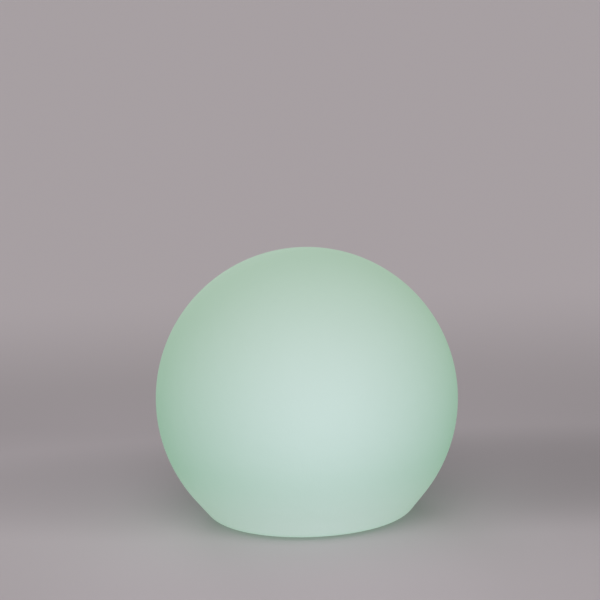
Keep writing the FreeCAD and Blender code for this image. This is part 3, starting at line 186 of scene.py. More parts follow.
class Paint:
    """A Principled material, with short calls that add its nodes."""

    def __init__(self, name, colour, roughness, metallic=0.0, **sockets):
        self.material = bpy.data.materials.new(name)
        self.material.use_nodes = True
        self.tree = self.material.node_tree
        self.shader = self.tree.nodes["Principled BSDF"]
        self.colour = colour
        self.set("Base Color", (*colour, 1))
        self.set("Roughness", roughness)
        self.set("Metallic", metallic)
        for socket, value in sockets.items():
            self.set(socket.replace("_", " "), value)
        self.place = self.add("ShaderNodeTexCoord").outputs["Object"]

    def set(self, socket, value):
        self.shader.inputs[socket].default_value = value

    def add(self, kind, settings=(), **inputs):
        """Adds a node. An input is a socket to link or a plain value; _ stands for a space in its name."""
        node = self.tree.nodes.new(kind)
        for name, value in settings:
            setattr(node, name, value)
        for name, value in inputs.items():
            self.feed(node.inputs[name.replace("_", " ")], value)
        return node

    def feed(self, socket, value):
        if isinstance(value, bpy.types.NodeSocket):
            self.tree.links.new(value, socket)
        else:
            socket.default_value = value

    def noise(self, size, detail=2.0, stretch=(1, 1, 1)):
        """Noise from about 0 to 1 in lumps of size metres across, drawn out along the axes by stretch."""
        scaled = self.add("ShaderNodeMapping", Vector=self.place, Scale=Vector(1 / s for s in stretch))
        made = self.add("ShaderNodeTexNoise", Vector=scaled.outputs[0], Scale=1 / size, Detail=detail)
        return made.outputs["Fac"]

    def cells(self, size):
        """The distance to the nearest of points that lie about size metres apart, as a share of size."""
        return self.add("ShaderNodeTexVoronoi", Vector=self.place, Scale=1 / size).outputs["Distance"]

    def spread(self, value, low, high, to_low=0.0, to_high=1.0):
        """Maps value from low..high to to_low..to_high, and holds it there."""
        limits = {"From_Min": low, "From_Max": high, "To_Min": to_low, "To_Max": to_high}
        made = self.add("ShaderNodeMapRange", [("interpolation_type", "SMOOTHSTEP")], Value=value, **limits)
        return made.outputs["Result"]

    def math(self, operation, first, second=0.0):
        made = self.add("ShaderNodeMath", [("operation", operation)])
        self.feed(made.inputs[0], first)
        self.feed(made.inputs[1], second)
        return made.outputs[0]

    def along(self, axis):
        return self.add("ShaderNodeSeparateXYZ", Vector=self.place).outputs[axis]

    def mix(self, share, first, second, blend="MIX"):
        """A colour between first and second, each a linear colour or a socket."""
        made = self.add("ShaderNodeMix", [("data_type", "RGBA"), ("blend_type", blend)], Factor=share)
        first_colour, second_colour, mixed = made.inputs[6], made.inputs[7], made.outputs[2]
        for socket, value in ((first_colour, first), (second_colour, second)):
            self.feed(socket, value if isinstance(value, bpy.types.NodeSocket) else (*value, 1))
        return mixed

    def link(self, socket, value):
        self.tree.links.new(value, self.shader.inputs[socket])
        return self

    def vary(self, share, amount):
        """Lightens and darkens the base colour by amount, following share."""
        low = darker(self.colour, 1 - amount)
        high = tuple(min(c * (1 + amount), 1) for c in self.colour)
        return self.link("Base Color", self.mix(share, low, high))

    def vary_roughness(self, share, low, high):
        return self.link("Roughness", self.spread(share, *NOISE_RANGE, low, high))

    def bump(self, height, depth):
        """Raises the surface by up to depth metres, following height."""
        made = self.add("ShaderNodeBump", Height=height, Distance=depth, Strength=1.0)
        return self.link("Normal", made.outputs["Normal"])

    def glow(self, colour):
        """Gives the material light of its own. colour is a linear colour or a socket."""
        self.set("Emission Strength", 1.0)
        if isinstance(colour, bpy.types.NodeSocket):
            return self.link("Emission Color", colour)
        self.set("Emission Color", (*colour, 1))
        return self


def moulded(name, colour, roughness, grain=0.5 * MM, depth=0.03 * MM, **sockets):
    """Moulded plastic: fine eroded grain, with faint clouds in colour and gloss."""
    paint = Paint(name, colour, roughness, **sockets)
    clouds = paint.noise(14 * MM, detail=3)
    paint.vary(clouds, amount=0.03)
    paint.vary_roughness(clouds, roughness - 0.05, roughness + 0.05)
    return paint.bump(paint.noise(grain, detail=4), depth)


def rubber(name, colour, roughness):
    """Silicone or rubber: soft sheen, dusty clouds and a very fine grain."""
    paint = Paint(name, colour, roughness, Sheen_Weight=0.25, Sheen_Roughness=0.5)
    dust = paint.noise(6 * MM, detail=5)
    paint.vary(dust, amount=0.07)
    paint.vary_roughness(dust, roughness - 0.08, roughness + 0.05)
    return paint.bump(paint.noise(0.35 * MM, detail=3), depth=0.025 * MM)


def flat_cable(name, colour, node, wires):
    """Soft flat cable whose wires lie side by side along X, with a groove between each two, darkened with
    painted shade.
    """
    paint = Paint(name, colour, roughness=0.45, Sheen_Weight=0.2, Sheen_Roughness=0.5)
    low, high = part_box(node)
    from_side = paint.math("SUBTRACT", paint.along("X"), low.x)
    half_turns = paint.math("MULTIPLY", from_side, HALF_TURN * wires / (high.x - low.x))
    backs = paint.math("ABSOLUTE", paint.math("SINE", half_turns))
    # Painted shade: the colour darkens into the grooves between the wires.
    paint.link("Base Color", paint.mix(paint.spread(backs, 0, 0.5), darker(colour, 0.6), colour))
    return paint.bump(backs, depth=0.15 * MM)


def metal(name, colour, roughness, stretch=(1, 1, 1)):
    """Metal with brush lines drawn out along the axes by stretch, and blotches in its colour."""
    paint = Paint(name, colour, roughness, metallic=1.0)
    lines = paint.noise(0.25 * MM, detail=3, stretch=stretch)
    paint.vary(paint.noise(3 * MM, detail=3), amount=0.06)
    paint.vary_roughness(lines, roughness - 0.08, roughness + 0.1)
    return paint.bump(lines, depth=0.004 * MM)


def circuit_board(name, mask, track, pitch):
    """Solder mask over copper tracks and pads, which stand up a little under the mask."""
    paint = Paint(name, mask, roughness=0.28, Coat_Weight=0.4, Coat_Roughness=0.15)
    long_run = paint.add("ShaderNodeMapping", Vector=paint.place, Scale=(0.35, 1, 1)).outputs[0]
    bricks = [("offset", 0.37), ("offset_frequency", 3), ("squash", 0.6), ("squash_frequency", 2)]
    lines = {"Scale": 1 / pitch, "Mortar_Size": 0.035, "Mortar_Smooth": 0.1}
    grid = paint.add("ShaderNodeTexBrick", bricks, Vector=long_run, **lines).outputs["Fac"]
    patches = paint.spread(paint.noise(2.2 * pitch, detail=1), 0.47, 0.49)
    tracks = paint.math("MULTIPLY", grid, patches)
    pads = paint.spread(paint.cells(0.6 * pitch), 0.12, 0.15, to_low=1, to_high=0)
    copper = paint.math("MAXIMUM", tracks, pads)
    cloudy = paint.mix(paint.noise(9 * MM), mask, darker(mask, 0.9))
    paint.link("Base Color", paint.mix(copper, cloudy, track))
    return paint.bump(copper, depth=0.04 * MM)


# The globe's glow: the colour at its top and then, from there down, each lower colour with the two heights
# between which it gives way to what is above it.
GLOW_TOP = (0.115, 0.28, 0.12)
GLOW_BELOW = (
    ((0.11, 0.30, 0.152), 0.55 * GLOBE_RADIUS, 1.75 * GLOBE_RADIUS),
    ((0.225, 0.36, 0.255), 0, 0.5 * GLOBE_RADIUS),
    ((0.25, 0.40, 0.29), flat_height, flat_height + 0.5 * HEEL_RADIUS),
)
GLOBE_BASE = (0.41, 0.40, 0.465)
WALL_THIN = (0.985, 0.985, 0.985)
WALL_THICK = (1.015, 1.015, 1.015)
DOME_BASE = (0.5, 0.53, 0.53)
DOME_DIM = (0.2, 0.34, 0.27)
DOME_BRIGHT = (0.5, 0.72, 0.6)
LAMP_GLOW = (0.36, 0.62, 0.46)


def frosted_globe(name):
    """Translucent moulded globe, lit from inside: the glow dims from its heel to its top."""
    paint = Paint(name, GLOBE_BASE, roughness=0.58, Specular_IOR_Level=0.3)
    height = paint.along("Z")
    glow = GLOW_TOP
    for colour, start, end in GLOW_BELOW:
        glow = paint.mix(paint.spread(height, start, end), colour, glow)
    wall = paint.mix(paint.noise(45 * MM, detail=3), WALL_THIN, WALL_THICK)
    paint.glow(paint.mix(1.0, glow, wall, blend="MULTIPLY"))
    paint.vary(paint.noise(30 * MM, detail=4), amount=0.012)
    waves = paint.math("MULTIPLY", paint.noise(11 * MM), 4.0)
    return paint.bump(paint.math("ADD", paint.noise(0.9 * MM, detail=3), waves), depth=0.05 * MM)


def frosted_dome(name):
    """Frosted cover: the rings of lamps under it show as a soft bright crown."""
    paint = Paint(name, DOME_BASE, roughness=0.5)
    foot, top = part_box("light_dome")
    squares = [paint.math("MULTIPLY", paint.along(axis), paint.along(axis)) for axis in "XY"]
    out = paint.math("SQRT", paint.math("ADD", *squares))
    crown = paint.spread(out, 0.35 * top.x, top.x, to_low=1, to_high=0.25)
    middle_dip = paint.spread(out, 0, 0.4 * top.x, to_low=0.8, to_high=1)
    above = paint.spread(paint.along("Z"), foot.z, foot.z + 0.75 * (top.z - foot.z))
    share = paint.math("MULTIPLY", paint.math("MULTIPLY", crown, middle_dip), above)
    paint.glow(paint.mix(share, DOME_DIM, DOME_BRIGHT))
    paint.vary(paint.noise(8 * MM, detail=3), amount=0.02)
    return paint.bump(paint.noise(0.5 * MM, detail=3), depth=0.03 * MM)


def cell_wrap(name):
    """Shrink wrap round a steel can, open at both ends, with a pale ring round the raised contact."""
    wrap, steel, ring = linear(38, 92, 158), (0.62, 0.61, 0.58), (0.8, 0.8, 0.78)
    paint = Paint(name, wrap, roughness=0.3, Coat_Weight=0.3)
    low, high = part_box("battery_cell")
    along = paint.along("X")
    at_raised = paint.spread(along, high.x - 1.2 * MM, high.x - 1.0 * MM)
    contact = paint.spread(along, high.x - 0.7 * MM, high.x - 0.6 * MM)
    at_flat = paint.spread(along, low.x + 0.1 * MM, low.x + 0.3 * MM, to_low=1, to_high=0)
    bare = paint.math("MAXIMUM", contact, at_flat)
    wrapped = paint.mix(at_raised, wrap, ring)
    paint.link("Base Color", paint.mix(bare, wrapped, steel))
    paint.link("Metallic", bare)
    return paint.bump(paint.noise(2.5 * MM, detail=3, stretch=(4, 1, 1)), depth=0.04 * MM)


def foam(name, colour):
    """Open foam: pores of two sizes, darkened with painted shade."""
    paint = Paint(name, colour, roughness=0.95, Sheen_Weight=0.3)
    pores = paint.math("MULTIPLY", paint.cells(0.7 * MM), paint.spread(paint.noise(0.4 * MM), 0.3, 0.6))
    # Painted shade: the colour darkens in the sunken pores.
    paint.vary(paint.spread(pores, 0.1, 0.5), amount=0.35)
    return paint.bump(pores, depth=0.25 * MM)


def marked_can(name):
    """Brushed aluminium can with a dark half moon on top."""
    paint = metal(name, (0.72, 0.73, 0.75), 0.3, stretch=(1, 1, 8))
    low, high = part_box("capacitors")
    radius = (high.y - low.y) / 2
    at_side = paint.spread(paint.along("Y"), low.y + 0.6 * radius, low.y + 0.62 * radius, to_low=1, to_high=0)
    on_top = paint.spread(paint.along("Z"), high.z - 0.3 * MM, high.z - 0.25 * MM)
    mark = paint.math("MULTIPLY", at_side, on_top)
    return paint.link("Base Color", paint.mix(mark, paint.colour, (0.05, 0.05, 0.06)))


def lamp_fill(name):
    """The pale glowing fill of the lamps."""
    return moulded(name, linear(200, 214, 204), 0.3, grain=0.3 * MM, depth=0.01 * MM).glow(LAMP_GLOW)


def make_materials():
    """One material for each of the record's slots."""
    return {
        "globe_frosted": frosted_globe("globe_frosted"),
        "dome_frosted": frosted_dome("dome_frosted"),
        "cap_plastic": moulded("cap_plastic", linear(226, 228, 226), 0.52, grain=0.45 * MM, depth=0.05 * MM),
        "tower_plastic": moulded("tower_plastic", linear(221, 224, 224), 0.42),
        "cradle_plastic": moulded("cradle_plastic", linear(46, 48, 51), 0.5),
        "plunger_white": moulded("plunger_white", linear(225, 225, 220), 0.4),
        "connector_white": moulded("connector_white", linear(229, 226, 212), 0.45, grain=0.3 * MM),
        "switch_black": moulded("switch_black", linear(28, 28, 30), 0.45),
        "coil_grey": moulded("coil_grey", linear(66, 66, 68), 0.7, grain=0.2 * MM, depth=0.05 * MM),
        "lamp_white": lamp_fill("lamp_white"),
        "receiver_black": moulded("receiver_black", linear(24, 14, 20), 0.12, Coat_Weight=0.5),
        "pipe_clear": moulded("pipe_clear", linear(222, 228, 230), 0.15, Transmission_Weight=0.6, IOR=1.49),
        "charge_lamp_red": moulded("charge_lamp_red", linear(190, 62, 52), 0.2, Transmission_Weight=0.3),
        "foot_rubber": rubber("foot_rubber", linear(46, 47, 49), 0.75),
        "seal_rubber": rubber("seal_rubber", linear(206, 208, 208), 0.6),
        "cover_silicone": rubber("cover_silicone", linear(198, 203, 203), 0.6),
        "button_silicone": rubber("button_silicone", linear(150, 156, 160), 0.6),
        "lead_red": rubber("lead_red", linear(176, 32, 32), 0.45),
        "lead_black": rubber("lead_black", linear(32, 32, 33), 0.45),
        "cable_grey": flat_cable("cable_grey", linear(158, 161, 165), "light_cable", wires=6),
        "screw_steel": metal("screw_steel", (0.62, 0.63, 0.65), 0.32),
        "contact_metal": metal("contact_metal", (0.72, 0.70, 0.65), 0.25, stretch=(1, 6, 1)),
        "can_aluminium": marked_can("can_aluminium"),
        "board_green": circuit_board("board_green", linear(16, 84, 48), linear(38, 116, 72), pitch=8 * MM),
        "board_white": circuit_board(
            "board_white", linear(233, 234, 230), linear(226, 226, 219), pitch=9 * MM
        ),
        "cell_wrap": cell_wrap("cell_wrap"),
        "foam_grey": foam("foam_grey", linear(76, 76, 79)),
    }


# ---------------------------------------------------------------- floor

FLOOR_HALF = 30
FLOOR_PALE = linear(206, 200, 202)
# Painted shade on the floor: how light it stays in front, in the darker painted band behind the globe and in
# the band's painted shadow pool, as shares, and the depths over which the band darkens and clears.
# Its front edge slants across X.
FRONT_SHADE = 0.935
BAND_SHADE = 0.735
BAND_SLANT = 0.5
BAND_DARKENS = (-0.14, 0.2)
BAND_CLEARS = (0.22, 0.9)
POOL_SHADE = 0.79
POOL_PLACE = (0.08, 0.085)
POOL_SIZE = (0.5, 0.16)


def floor_paint():
    """Pale paper with fine tooth and painted shade: it darkens to a band behind the light, with a painted
    shadow pool in that band.
    """
    paint = Paint("floor_paper", FLOOR_PALE, roughness=0.9, Specular_IOR_Level=0.1)
    deep = paint.along("Y")
    slanted = paint.math("ADD", deep, paint.math("MULTIPLY", paint.along("X"), BAND_SLANT))
    before = paint.spread(slanted, *BAND_DARKENS, FRONT_SHADE, BAND_SHADE)
    behind = paint.spread(deep, *BAND_CLEARS, BAND_SHADE, 1)
    squares = []
    for axis, place, size in zip("XY", POOL_PLACE, POOL_SIZE):
        off = paint.math("DIVIDE", paint.math("SUBTRACT", paint.along(axis), place), size)
        squares.append(paint.math("MULTIPLY", off, off))
    # Painted shadow: an ellipse of darker floor in the band, behind the globe.
    painted_shadow_pool = paint.spread(paint.math("ADD", *squares), 0, 1, POOL_SHADE, 1)
    share = paint.math("MULTIPLY", paint.math("MAXIMUM", before, behind), painted_shadow_pool)
    paint.link("Base Color", paint.mix(share, (0, 0, 0), FLOOR_PALE))
    return paint.bump(paint.noise(1.2 * MM, detail=3), depth=0.05 * MM)


def add_floor():
    mesh = bpy.data.meshes.new("floor")
    corners = rectangle(-FLOOR_HALF, -FLOOR_HALF, FLOOR_HALF, FLOOR_HALF)
    mesh.from_pydata([(x, y, 0) for x, y in corners], [], [(0, 1, 2, 3)])
    floor = bpy.data.objects.new("floor", mesh)
    bpy.context.scene.collection.objects.link(floor)
    mesh.materials.append(floor_paint().material)


# ---------------------------------------------------------------- mesh helpers

SHARP_ANGLE = math.radians(38)
EDGE_ROUND = 0.35 * MM
SAME_POINT = 1e-6
CORNER_STEPS = 4
FADED_REACH = 0.02
CREST_SHARE = 0.6


def finish_mesh(bm, name):
    """Turns a bmesh into an object: outward faces, smooth but for its sharp edges."""
    bmesh.ops.recalc_face_normals(bm, faces=bm.faces)
    for face in bm.faces:
        face.smooth = True
    for edge in bm.edges:
        if len(edge.link_faces) == 2:
            edge.smooth = edge.calc_face_angle(0) < SHARP_ANGLE
    mesh = bpy.data.meshes.new(name)
    bm.to_mesh(mesh)
    bm.free()
    made = bpy.data.objects.new(name, mesh)
    bpy.context.scene.collection.objects.link(made)
    return made


def dress(piece, body, slot, *replaced):
    """Gives a finished piece its material and body, and hides the CAD nodes that it stands for."""
    piece.data.materials.clear()
    piece.data.materials.append(materials[slot].material)
    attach(piece, body)
    if replaced:
        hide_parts(*replaced)
    return piece


def solids(node):
    """The lowest and highest corners of each separate solid in a CAD node, in a steady order."""
    bm = bmesh.new()
    bm.from_mesh(frame["nodes"][node].data)
    bmesh.ops.remove_doubles(bm, verts=bm.verts, dist=SAME_POINT)
    left, found = set(bm.verts), []
    while left:
        waiting, group = [left.pop()], []
        while waiting:
            vert = waiting.pop()
            group.append(vert.co.copy())
            near = {edge.other_vert(vert) for edge in vert.link_edges} & left
            left -= near
            waiting += near
        low, high = (Vector(pick(point[i] for point in group) for i in range(3)) for pick in (min, max))
        found.append((low, high))
    bm.free()
    return sorted(found, key=lambda ends: tuple(round(value, 5) for value in ends[0]))


def middle(ends):
    return (ends[0] + ends[1]) / 2


def polar(centre, radius, angle):
    """The flat point at radius and angle from centre."""
    return (centre[0] + radius * math.cos(angle), centre[1] + radius * math.sin(angle))


def arc(centre, radius, start, end, steps):
    """Flat points of an arc about centre. Angles are radians from the first axis towards the second."""
    return [polar(centre, radius, start + (end - start) * i / steps) for i in range(steps + 1)]


def rectangle(left, low, right, high):
    return [(left, low), (right, low), (right, high), (left, high)]


def rounded(corners, radius):
    """A closed outline through flat corners, each drawn round over a length of radius."""
    points = []
    for before, corner, after in zip(corners[-1:] + corners[:-1], corners, corners[1:] + corners[:1]):
        before, corner, after = Vector(before), Vector(corner), Vector(after)
        start = corner + (before - corner).normalized() * radius
        end = corner + (after - corner).normalized() * radius
        for i in range(CORNER_STEPS + 1):
            t = i / CORNER_STEPS
            points.append((1 - t) ** 2 * start + 2 * t * (1 - t) * corner + t * t * end)
    following = points[1:] + points[:1]
    return [tuple(point) for point, after in zip(points, following) if (point - after).length > SAME_POINT]


def turned(bm, profile, steps, closed=False, centre=(0, 0)):
    """Turns (distance, height) points about an upright line. An open profile starts and ends on that line."""
    rings = []
    for distance, height in profile:
        around = [centre]
        if distance >= SAME_POINT:
            around = [polar(centre, distance, FULL_TURN * i / steps) for i in range(steps)]
        rings.append([bm.verts.new((*point, height)) for point in around])
    pairs = list(zip(rings, rings[1:])) + ([(rings[-1], rings[0])] if closed else [])
    for first, second in pairs:
        for i in range(steps):
            corners = [first[i % len(first)], first[(i + 1) % len(first)]]
            corners += [second[(i + 1) % len(second)], second[i % len(second)]]
            bm.faces.new(list(dict.fromkeys(corners)))


def add_plug(bm, low, high, low_radius, high_radius, steps, centre=(0, 0)):
    """A round, solid plug from height low to high."""
    profile = [(0, low), (low_radius, low), (high_radius, high), (0, high)]
    turned(bm, profile, steps, centre=centre)


def skin(bm, sections):
    """Joins closed sections of equal point counts into one closed tube."""
    rings = [[bm.verts.new(point) for point in section] for section in sections]
    count = len(rings[0])
    for first, second in zip(rings, rings[1:]):
        for i in range(count):
            bm.faces.new((first[i], first[(i + 1) % count], second[(i + 1) % count], second[i]))
    bm.faces.new(list(reversed(rings[0])))
    bm.faces.new(rings[-1])


def add_block(bm, low, high, bevel, segments=2):
    """A box between two corners, with every edge rounded."""
    size = Vector(high) - Vector(low)
    place = Matrix.Translation((Vector(high) + Vector(low)) / 2) @ Matrix.Diagonal((*size, 1))
    made = bmesh.ops.create_cube(bm, size=1, matrix=place)
    edges = list(dict.fromkeys(edge for vert in made["verts"] for edge in vert.link_edges))
    bmesh.ops.bevel(bm, geom=edges, offset=bevel, segments=segments, profile=0.5, affect="EDGES")


def add_thread(bm, radius, reach, low, pitch, turns, root, crest, steps=96):
    """A helical ridge on a round wall, outward or, with a negative reach, inward.

    root and crest are its widths, and steps its sections in a turn. Its root stands a little inside the wall,
    and it fades out over an eighth of a turn at both ends.
    """
    fade = steps // 8
    sunk = reach / 8
    count = int(steps * turns)
    sections = []
    for i in range(count + 1):
        angle = FULL_TURN * i / steps
        height = low + pitch * i / steps
        share = min(1, i / fade, (count - i) / fade)
        tip = radius + reach * max(share * share * (3 - 2 * share), FADED_REACH)
        outline = ((radius - sunk, -root / 2), (tip, -crest / 2), (tip, crest / 2), (radius - sunk, root / 2))
        across = Vector((math.cos(angle), math.sin(angle), 0))
        sections.append([across * distance + Vector((0, 0, height + rise)) for distance, rise in outline])
    skin(bm, sections)


def add_ridge(bm, points, width, low, high):
    """A ridge of even width along flat points. It faces down, from its root at high to its crest at low."""
    root, crest = width / 2, width * CREST_SHARE / 2
    outline = ((-root, high), (-crest, low), (crest, low), (root, high))
    sections = []
    for i, point in enumerate(points):
        before, after = Vector(points[max(i - 1, 0)]), Vector(points[min(i + 1, len(points) - 1)])
        along = (after - before).normalized()
        aside = Vector((-along.y, along.x))
        sections.append([(*(Vector(point) + aside * offset), height) for offset, height in outline])
    skin(bm, sections)


def carve(piece, tool):
    """A bmesh of the piece with the tool's volume cut out. Both objects are dropped."""
    cutter = piece.modifiers.new("carve", "BOOLEAN")
    cutter.operation = "DIFFERENCE"
    cutter.solver = "EXACT"
    cutter.object = tool
    bpy.context.view_layer.update()
    seen = piece.evaluated_get(bpy.context.evaluated_depsgraph_get())
    bm = bmesh.new()
    bm.from_mesh(bpy.data.meshes.new_from_object(seen))
    bmesh.ops.remove_doubles(bm, verts=bm.verts, dist=SAME_POINT)
    for spent in (piece, tool):
        bpy.data.objects.remove(spent)
    return bm


def at_places(bm, places, name):
    """One object that holds a copy of bm at each place, a matrix."""
    pattern = bpy.data.meshes.new("pattern")
    bm.to_mesh(pattern)
    bm.free()
    joined = bmesh.new()
    for place in places:
        before = len(joined.verts)
        joined.from_mesh(pattern)
        joined.verts.ensure_lookup_table()
        bmesh.ops.transform(joined, matrix=place, verts=joined.verts[before:])
    return finish_mesh(joined, name)


# ---------------------------------------------------------------- the globe, the threads and the seals


def globe_profile():
    """The globe's section: down its outside, in under the heel, up recess and neck, and back up inside."""
    centre = (0, globe_middle)
    below, beside = math.sin(FLANK_ANGLE), math.cos(FLANK_ANGLE)
    heel_up = flat_height + HEEL_RADIUS
    heel = ((GLOBE_RADIUS - HEEL_RADIUS - (globe_middle - heel_up) * below) / beside, heel_up)
    turn_in = neck_radius + NECK_WALL
    shelf_top = shelf_height + GLOBE_WALL
    neck_top = shelf_height + NECK_HEIGHT
    recess_in = recess_radius + GLOBE_WALL
    return [
        *arc(centre, GLOBE_RADIUS, QUARTER_TURN, -FLANK_ANGLE, steps=80),
        *arc(heel, HEEL_RADIUS, -FLANK_ANGLE, -QUARTER_TURN, steps=12),
        (recess_radius + RECESS_BEVEL, flat_height),
        (recess_radius, flat_height + RECESS_BEVEL),
        (recess_radius, shelf_height),
        (neck_radius, shelf_height),
        (neck_radius, neck_top),
        (turn_in, neck_top),
        (turn_in, shelf_top),
        (recess_in, shelf_top),
        (recess_in, flat_height + GLOBE_WALL),
        *arc(heel, HEEL_RADIUS - GLOBE_WALL, -QUARTER_TURN, -FLANK_ANGLE, steps=8),
        *arc(centre, GLOBE_RADIUS - GLOBE_WALL, -FLANK_ANGLE, QUARTER_TURN, steps=48),
    ]


def add_globe():
    bm = bmesh.new()
    turned(bm, globe_profile(), steps=192)
    dress(finish_mesh(bm, "globe"), "globe", "globe_frosted", "globe_shell")


def add_threads():
    """The neck's ridge and, half a pitch above it, the collar's, so that each rides on the other."""
    neck, collar = bmesh.new(), bmesh.new()
    start = shelf_height + THREAD_START
    widths = (THREAD_ROOT, THREAD_CREST)
    add_thread(neck, neck_radius, -THREAD_REACH, start, THREAD_PITCH, THREAD_TURNS, *widths)
    dress(finish_mesh(neck, "neck_thread"), "globe", "globe_frosted")
    start += THREAD_PITCH / 2
    add_thread(collar, collar_radius, THREAD_REACH, start, THREAD_PITCH, COLLAR_TURNS, *widths)
    dress(finish_mesh(collar, "collar_thread"), "base", "cap_plastic")


def add_ring(name, body, slot, node, width, corner):
    """A rubber ring in place of a node, whose section has round corners."""
    low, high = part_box(node)
    outline = rounded(rectangle(high.x - width, low.z, high.x, high.z), corner)
    bm = bmesh.new()
    turned(bm, outline, steps=128, closed=True)
    dress(finish_mesh(bm, name), body, slot, node)


def add_seals():
    """The flat gasket, the round ring in the recess's corner, the dome's ring and the foot ring."""
    add_ring("gasket", "flat_gasket", "seal_rubber", "flat_gasket", GASKET_WIDTH, corner=0.5 * MM)
    add_ring("corner_seal", "corner_ring", "seal_rubber", "corner_ring_seal", RING_SECTION, RING_SECTION / 2)
    add_ring("dome_ring", "base", "seal_rubber", "dome_seal", SEAL_SECTION, SEAL_SECTION / 2)
    add_ring("foot", "base", "foot_rubber", "foot_ring", FOOT_WIDTH, corner=0.9 * MM)


# ---------------------------------------------------------------- the button and the grip

BUTTON_HOLE = 7 * MM
BUTTON_PLAY = 0.3 * MM
BUTTON_ROUND = 0.5 * MM
BUTTON_DISH = 0.35 * MM
# Across the button's face from its middle, as shares of its radius and of the dish's depth.
DISH_SHAPE = ((0, 1), (0.45, 0.75), (0.8, 0))
SIGN_RADIUS = 2.9 * MM
SIGN_LINE = 0.75 * MM
SIGN_GAP = math.radians(34)
SIGN_BAR = (0.35, 1.25)
SIGN_CREST = 0.2
BASE_PLATE = 2.5 * MM
SKIRT_HEIGHT = 1 * MM
STEM_RADIUS = 2.4 * MM
STEM_FOOT_SHARE = 1.4
# The bolt's corners, in mm from the middle of the socket's cover.
BOLT = ((2.9, 0.6), (0.2, -1.0), (0.2, 0.9), (-2.9, -0.7))
BOLT_LINE = 0.55 * MM
BOLT_RISE = 0.12 * MM
GRIP_RIBS = 9
RIB_PITCH = 4.2 * MM
RIB_WIDTH = 1.1 * MM
RIB_REACH = 0.5 * MM
RIB_ROUND = 0.35 * MM
RIB_ENDS = (0.8 * MM, 9 * MM)
BAR_HALF = 12 * MM


def add_button():
    """Soft dished button with a raised ring and bar, the usual sign for power."""
    low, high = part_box("power_button")
    face = BUTTON_HOLE - BUTTON_PLAY
    skirt_low = flat_height + BASE_PLATE + SEAL_PLAY
    skirt_high = skirt_low + SKIRT_HEIGHT
    profile = [(face * out, low.z + BUTTON_DISH * deep) for out, deep in DISH_SHAPE]
    profile += arc((face - BUTTON_ROUND, low.z + BUTTON_ROUND), BUTTON_ROUND, -QUARTER_TURN, 0, steps=5)
    profile += [(face, skirt_low), (high.x, skirt_low), (high.x, skirt_high)]
    profile += [(STEM_RADIUS * STEM_FOOT_SHARE, skirt_high), (STEM_RADIUS, skirt_high + SKIRT_HEIGHT / 2)]
    profile += [(STEM_RADIUS, high.z), (0, high.z)]
    bm = bmesh.new()
    turned(bm, profile, steps=96)
    dress(finish_mesh(bm, "button"), "power_button", "button_silicone", "power_button")
    sign = bmesh.new()
    ring = arc((0, 0), SIGN_RADIUS, QUARTER_TURN + SIGN_GAP, QUARTER_TURN + FULL_TURN - SIGN_GAP, steps=40)
    bar = [(0, SIGN_RADIUS * share) for share in SIGN_BAR]
    for points in (ring, bar):
        add_ridge(sign, points, SIGN_LINE, low.z + BUTTON_DISH * SIGN_CREST, low.z + BUTTON_DISH)
    dress(finish_mesh(sign, "button_sign"), "power_button", "plunger_white")


def add_cover_sign():
    """A raised bolt on the socket's cover, the usual sign for charging."""
    low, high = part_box("socket_cover")
    centre = middle((low, high))
    points = [(centre.x + x * MM, centre.y + y * MM) for x, y in BOLT]
    bm = bmesh.new()
    add_ridge(bm, points, BOLT_LINE, low.z - BOLT_RISE, low.z + BOLT_RISE)
    dress(finish_mesh(bm, "cover_sign"), "socket_cover", "cover_silicone")


def add_grip_ribs():
    """Upright ribs along both sides of the grip bar, for the fingertips."""
    bm = bmesh.new()
    low, high = (flat_height + end for end in RIB_ENDS)
    for side in (-1, 1):
        start, end = sorted((side * (BAR_HALF - RIB_REACH), side * (BAR_HALF + RIB_REACH)))
        for number in range(GRIP_RIBS):
            left = (number - (GRIP_RIBS - 1) / 2) * RIB_PITCH - RIB_WIDTH / 2
            add_block(bm, (left, start, low), (left + RIB_WIDTH, end, high), RIB_ROUND, segments=3)
    dress(finish_mesh(bm, "grip_ribs"), "base", "cap_plastic")


# ---------------------------------------------------------------- screws

# The radius of a screw's shank and of its head, the head's height, and the length below the head.
CASE_SCREW = (1.5 * MM, 2.8 * MM, 1.9 * MM, 12 * MM)
SMALL_SCREW = (1 * MM, 1.9 * MM, 1.3 * MM, 6 * MM)
SCREWS = {
    "case_screws": CASE_SCREW,
    "board_screws": SMALL_SCREW,
    "cradle_screws": SMALL_SCREW,
    "light_board_screws": SMALL_SCREW,
}
FACING_DOWN = ("case_screws",)
SCREW_SPIN = 0.7
# The head's rounding as a share of its height, the thread's core and pitch as shares of the shank's radius.
HEAD_ROUND = 0.45
CORE_SHARE = 0.78
PITCH_SHARE = 0.6
# Down the shank from the head, as shares of the core's radius and of the length.
SHANK_SHAPE = ((1.15, 0), (1, -0.1), (1, -0.86), (0.25, -1), (0, -1))
# Where the thread starts and how far up it runs, as shares of the length.
THREADED_FROM = -0.84
THREADED_SHARE = 0.72
# The cross recess: its arms as shares of the head's radius, then how much of that width it has at which share
# of the head's height.
RECESS_ARM = 0.58
RECESS_HALF = 0.16
RECESS_LEVELS = ((0.45, 0.25), (1, 1.2))


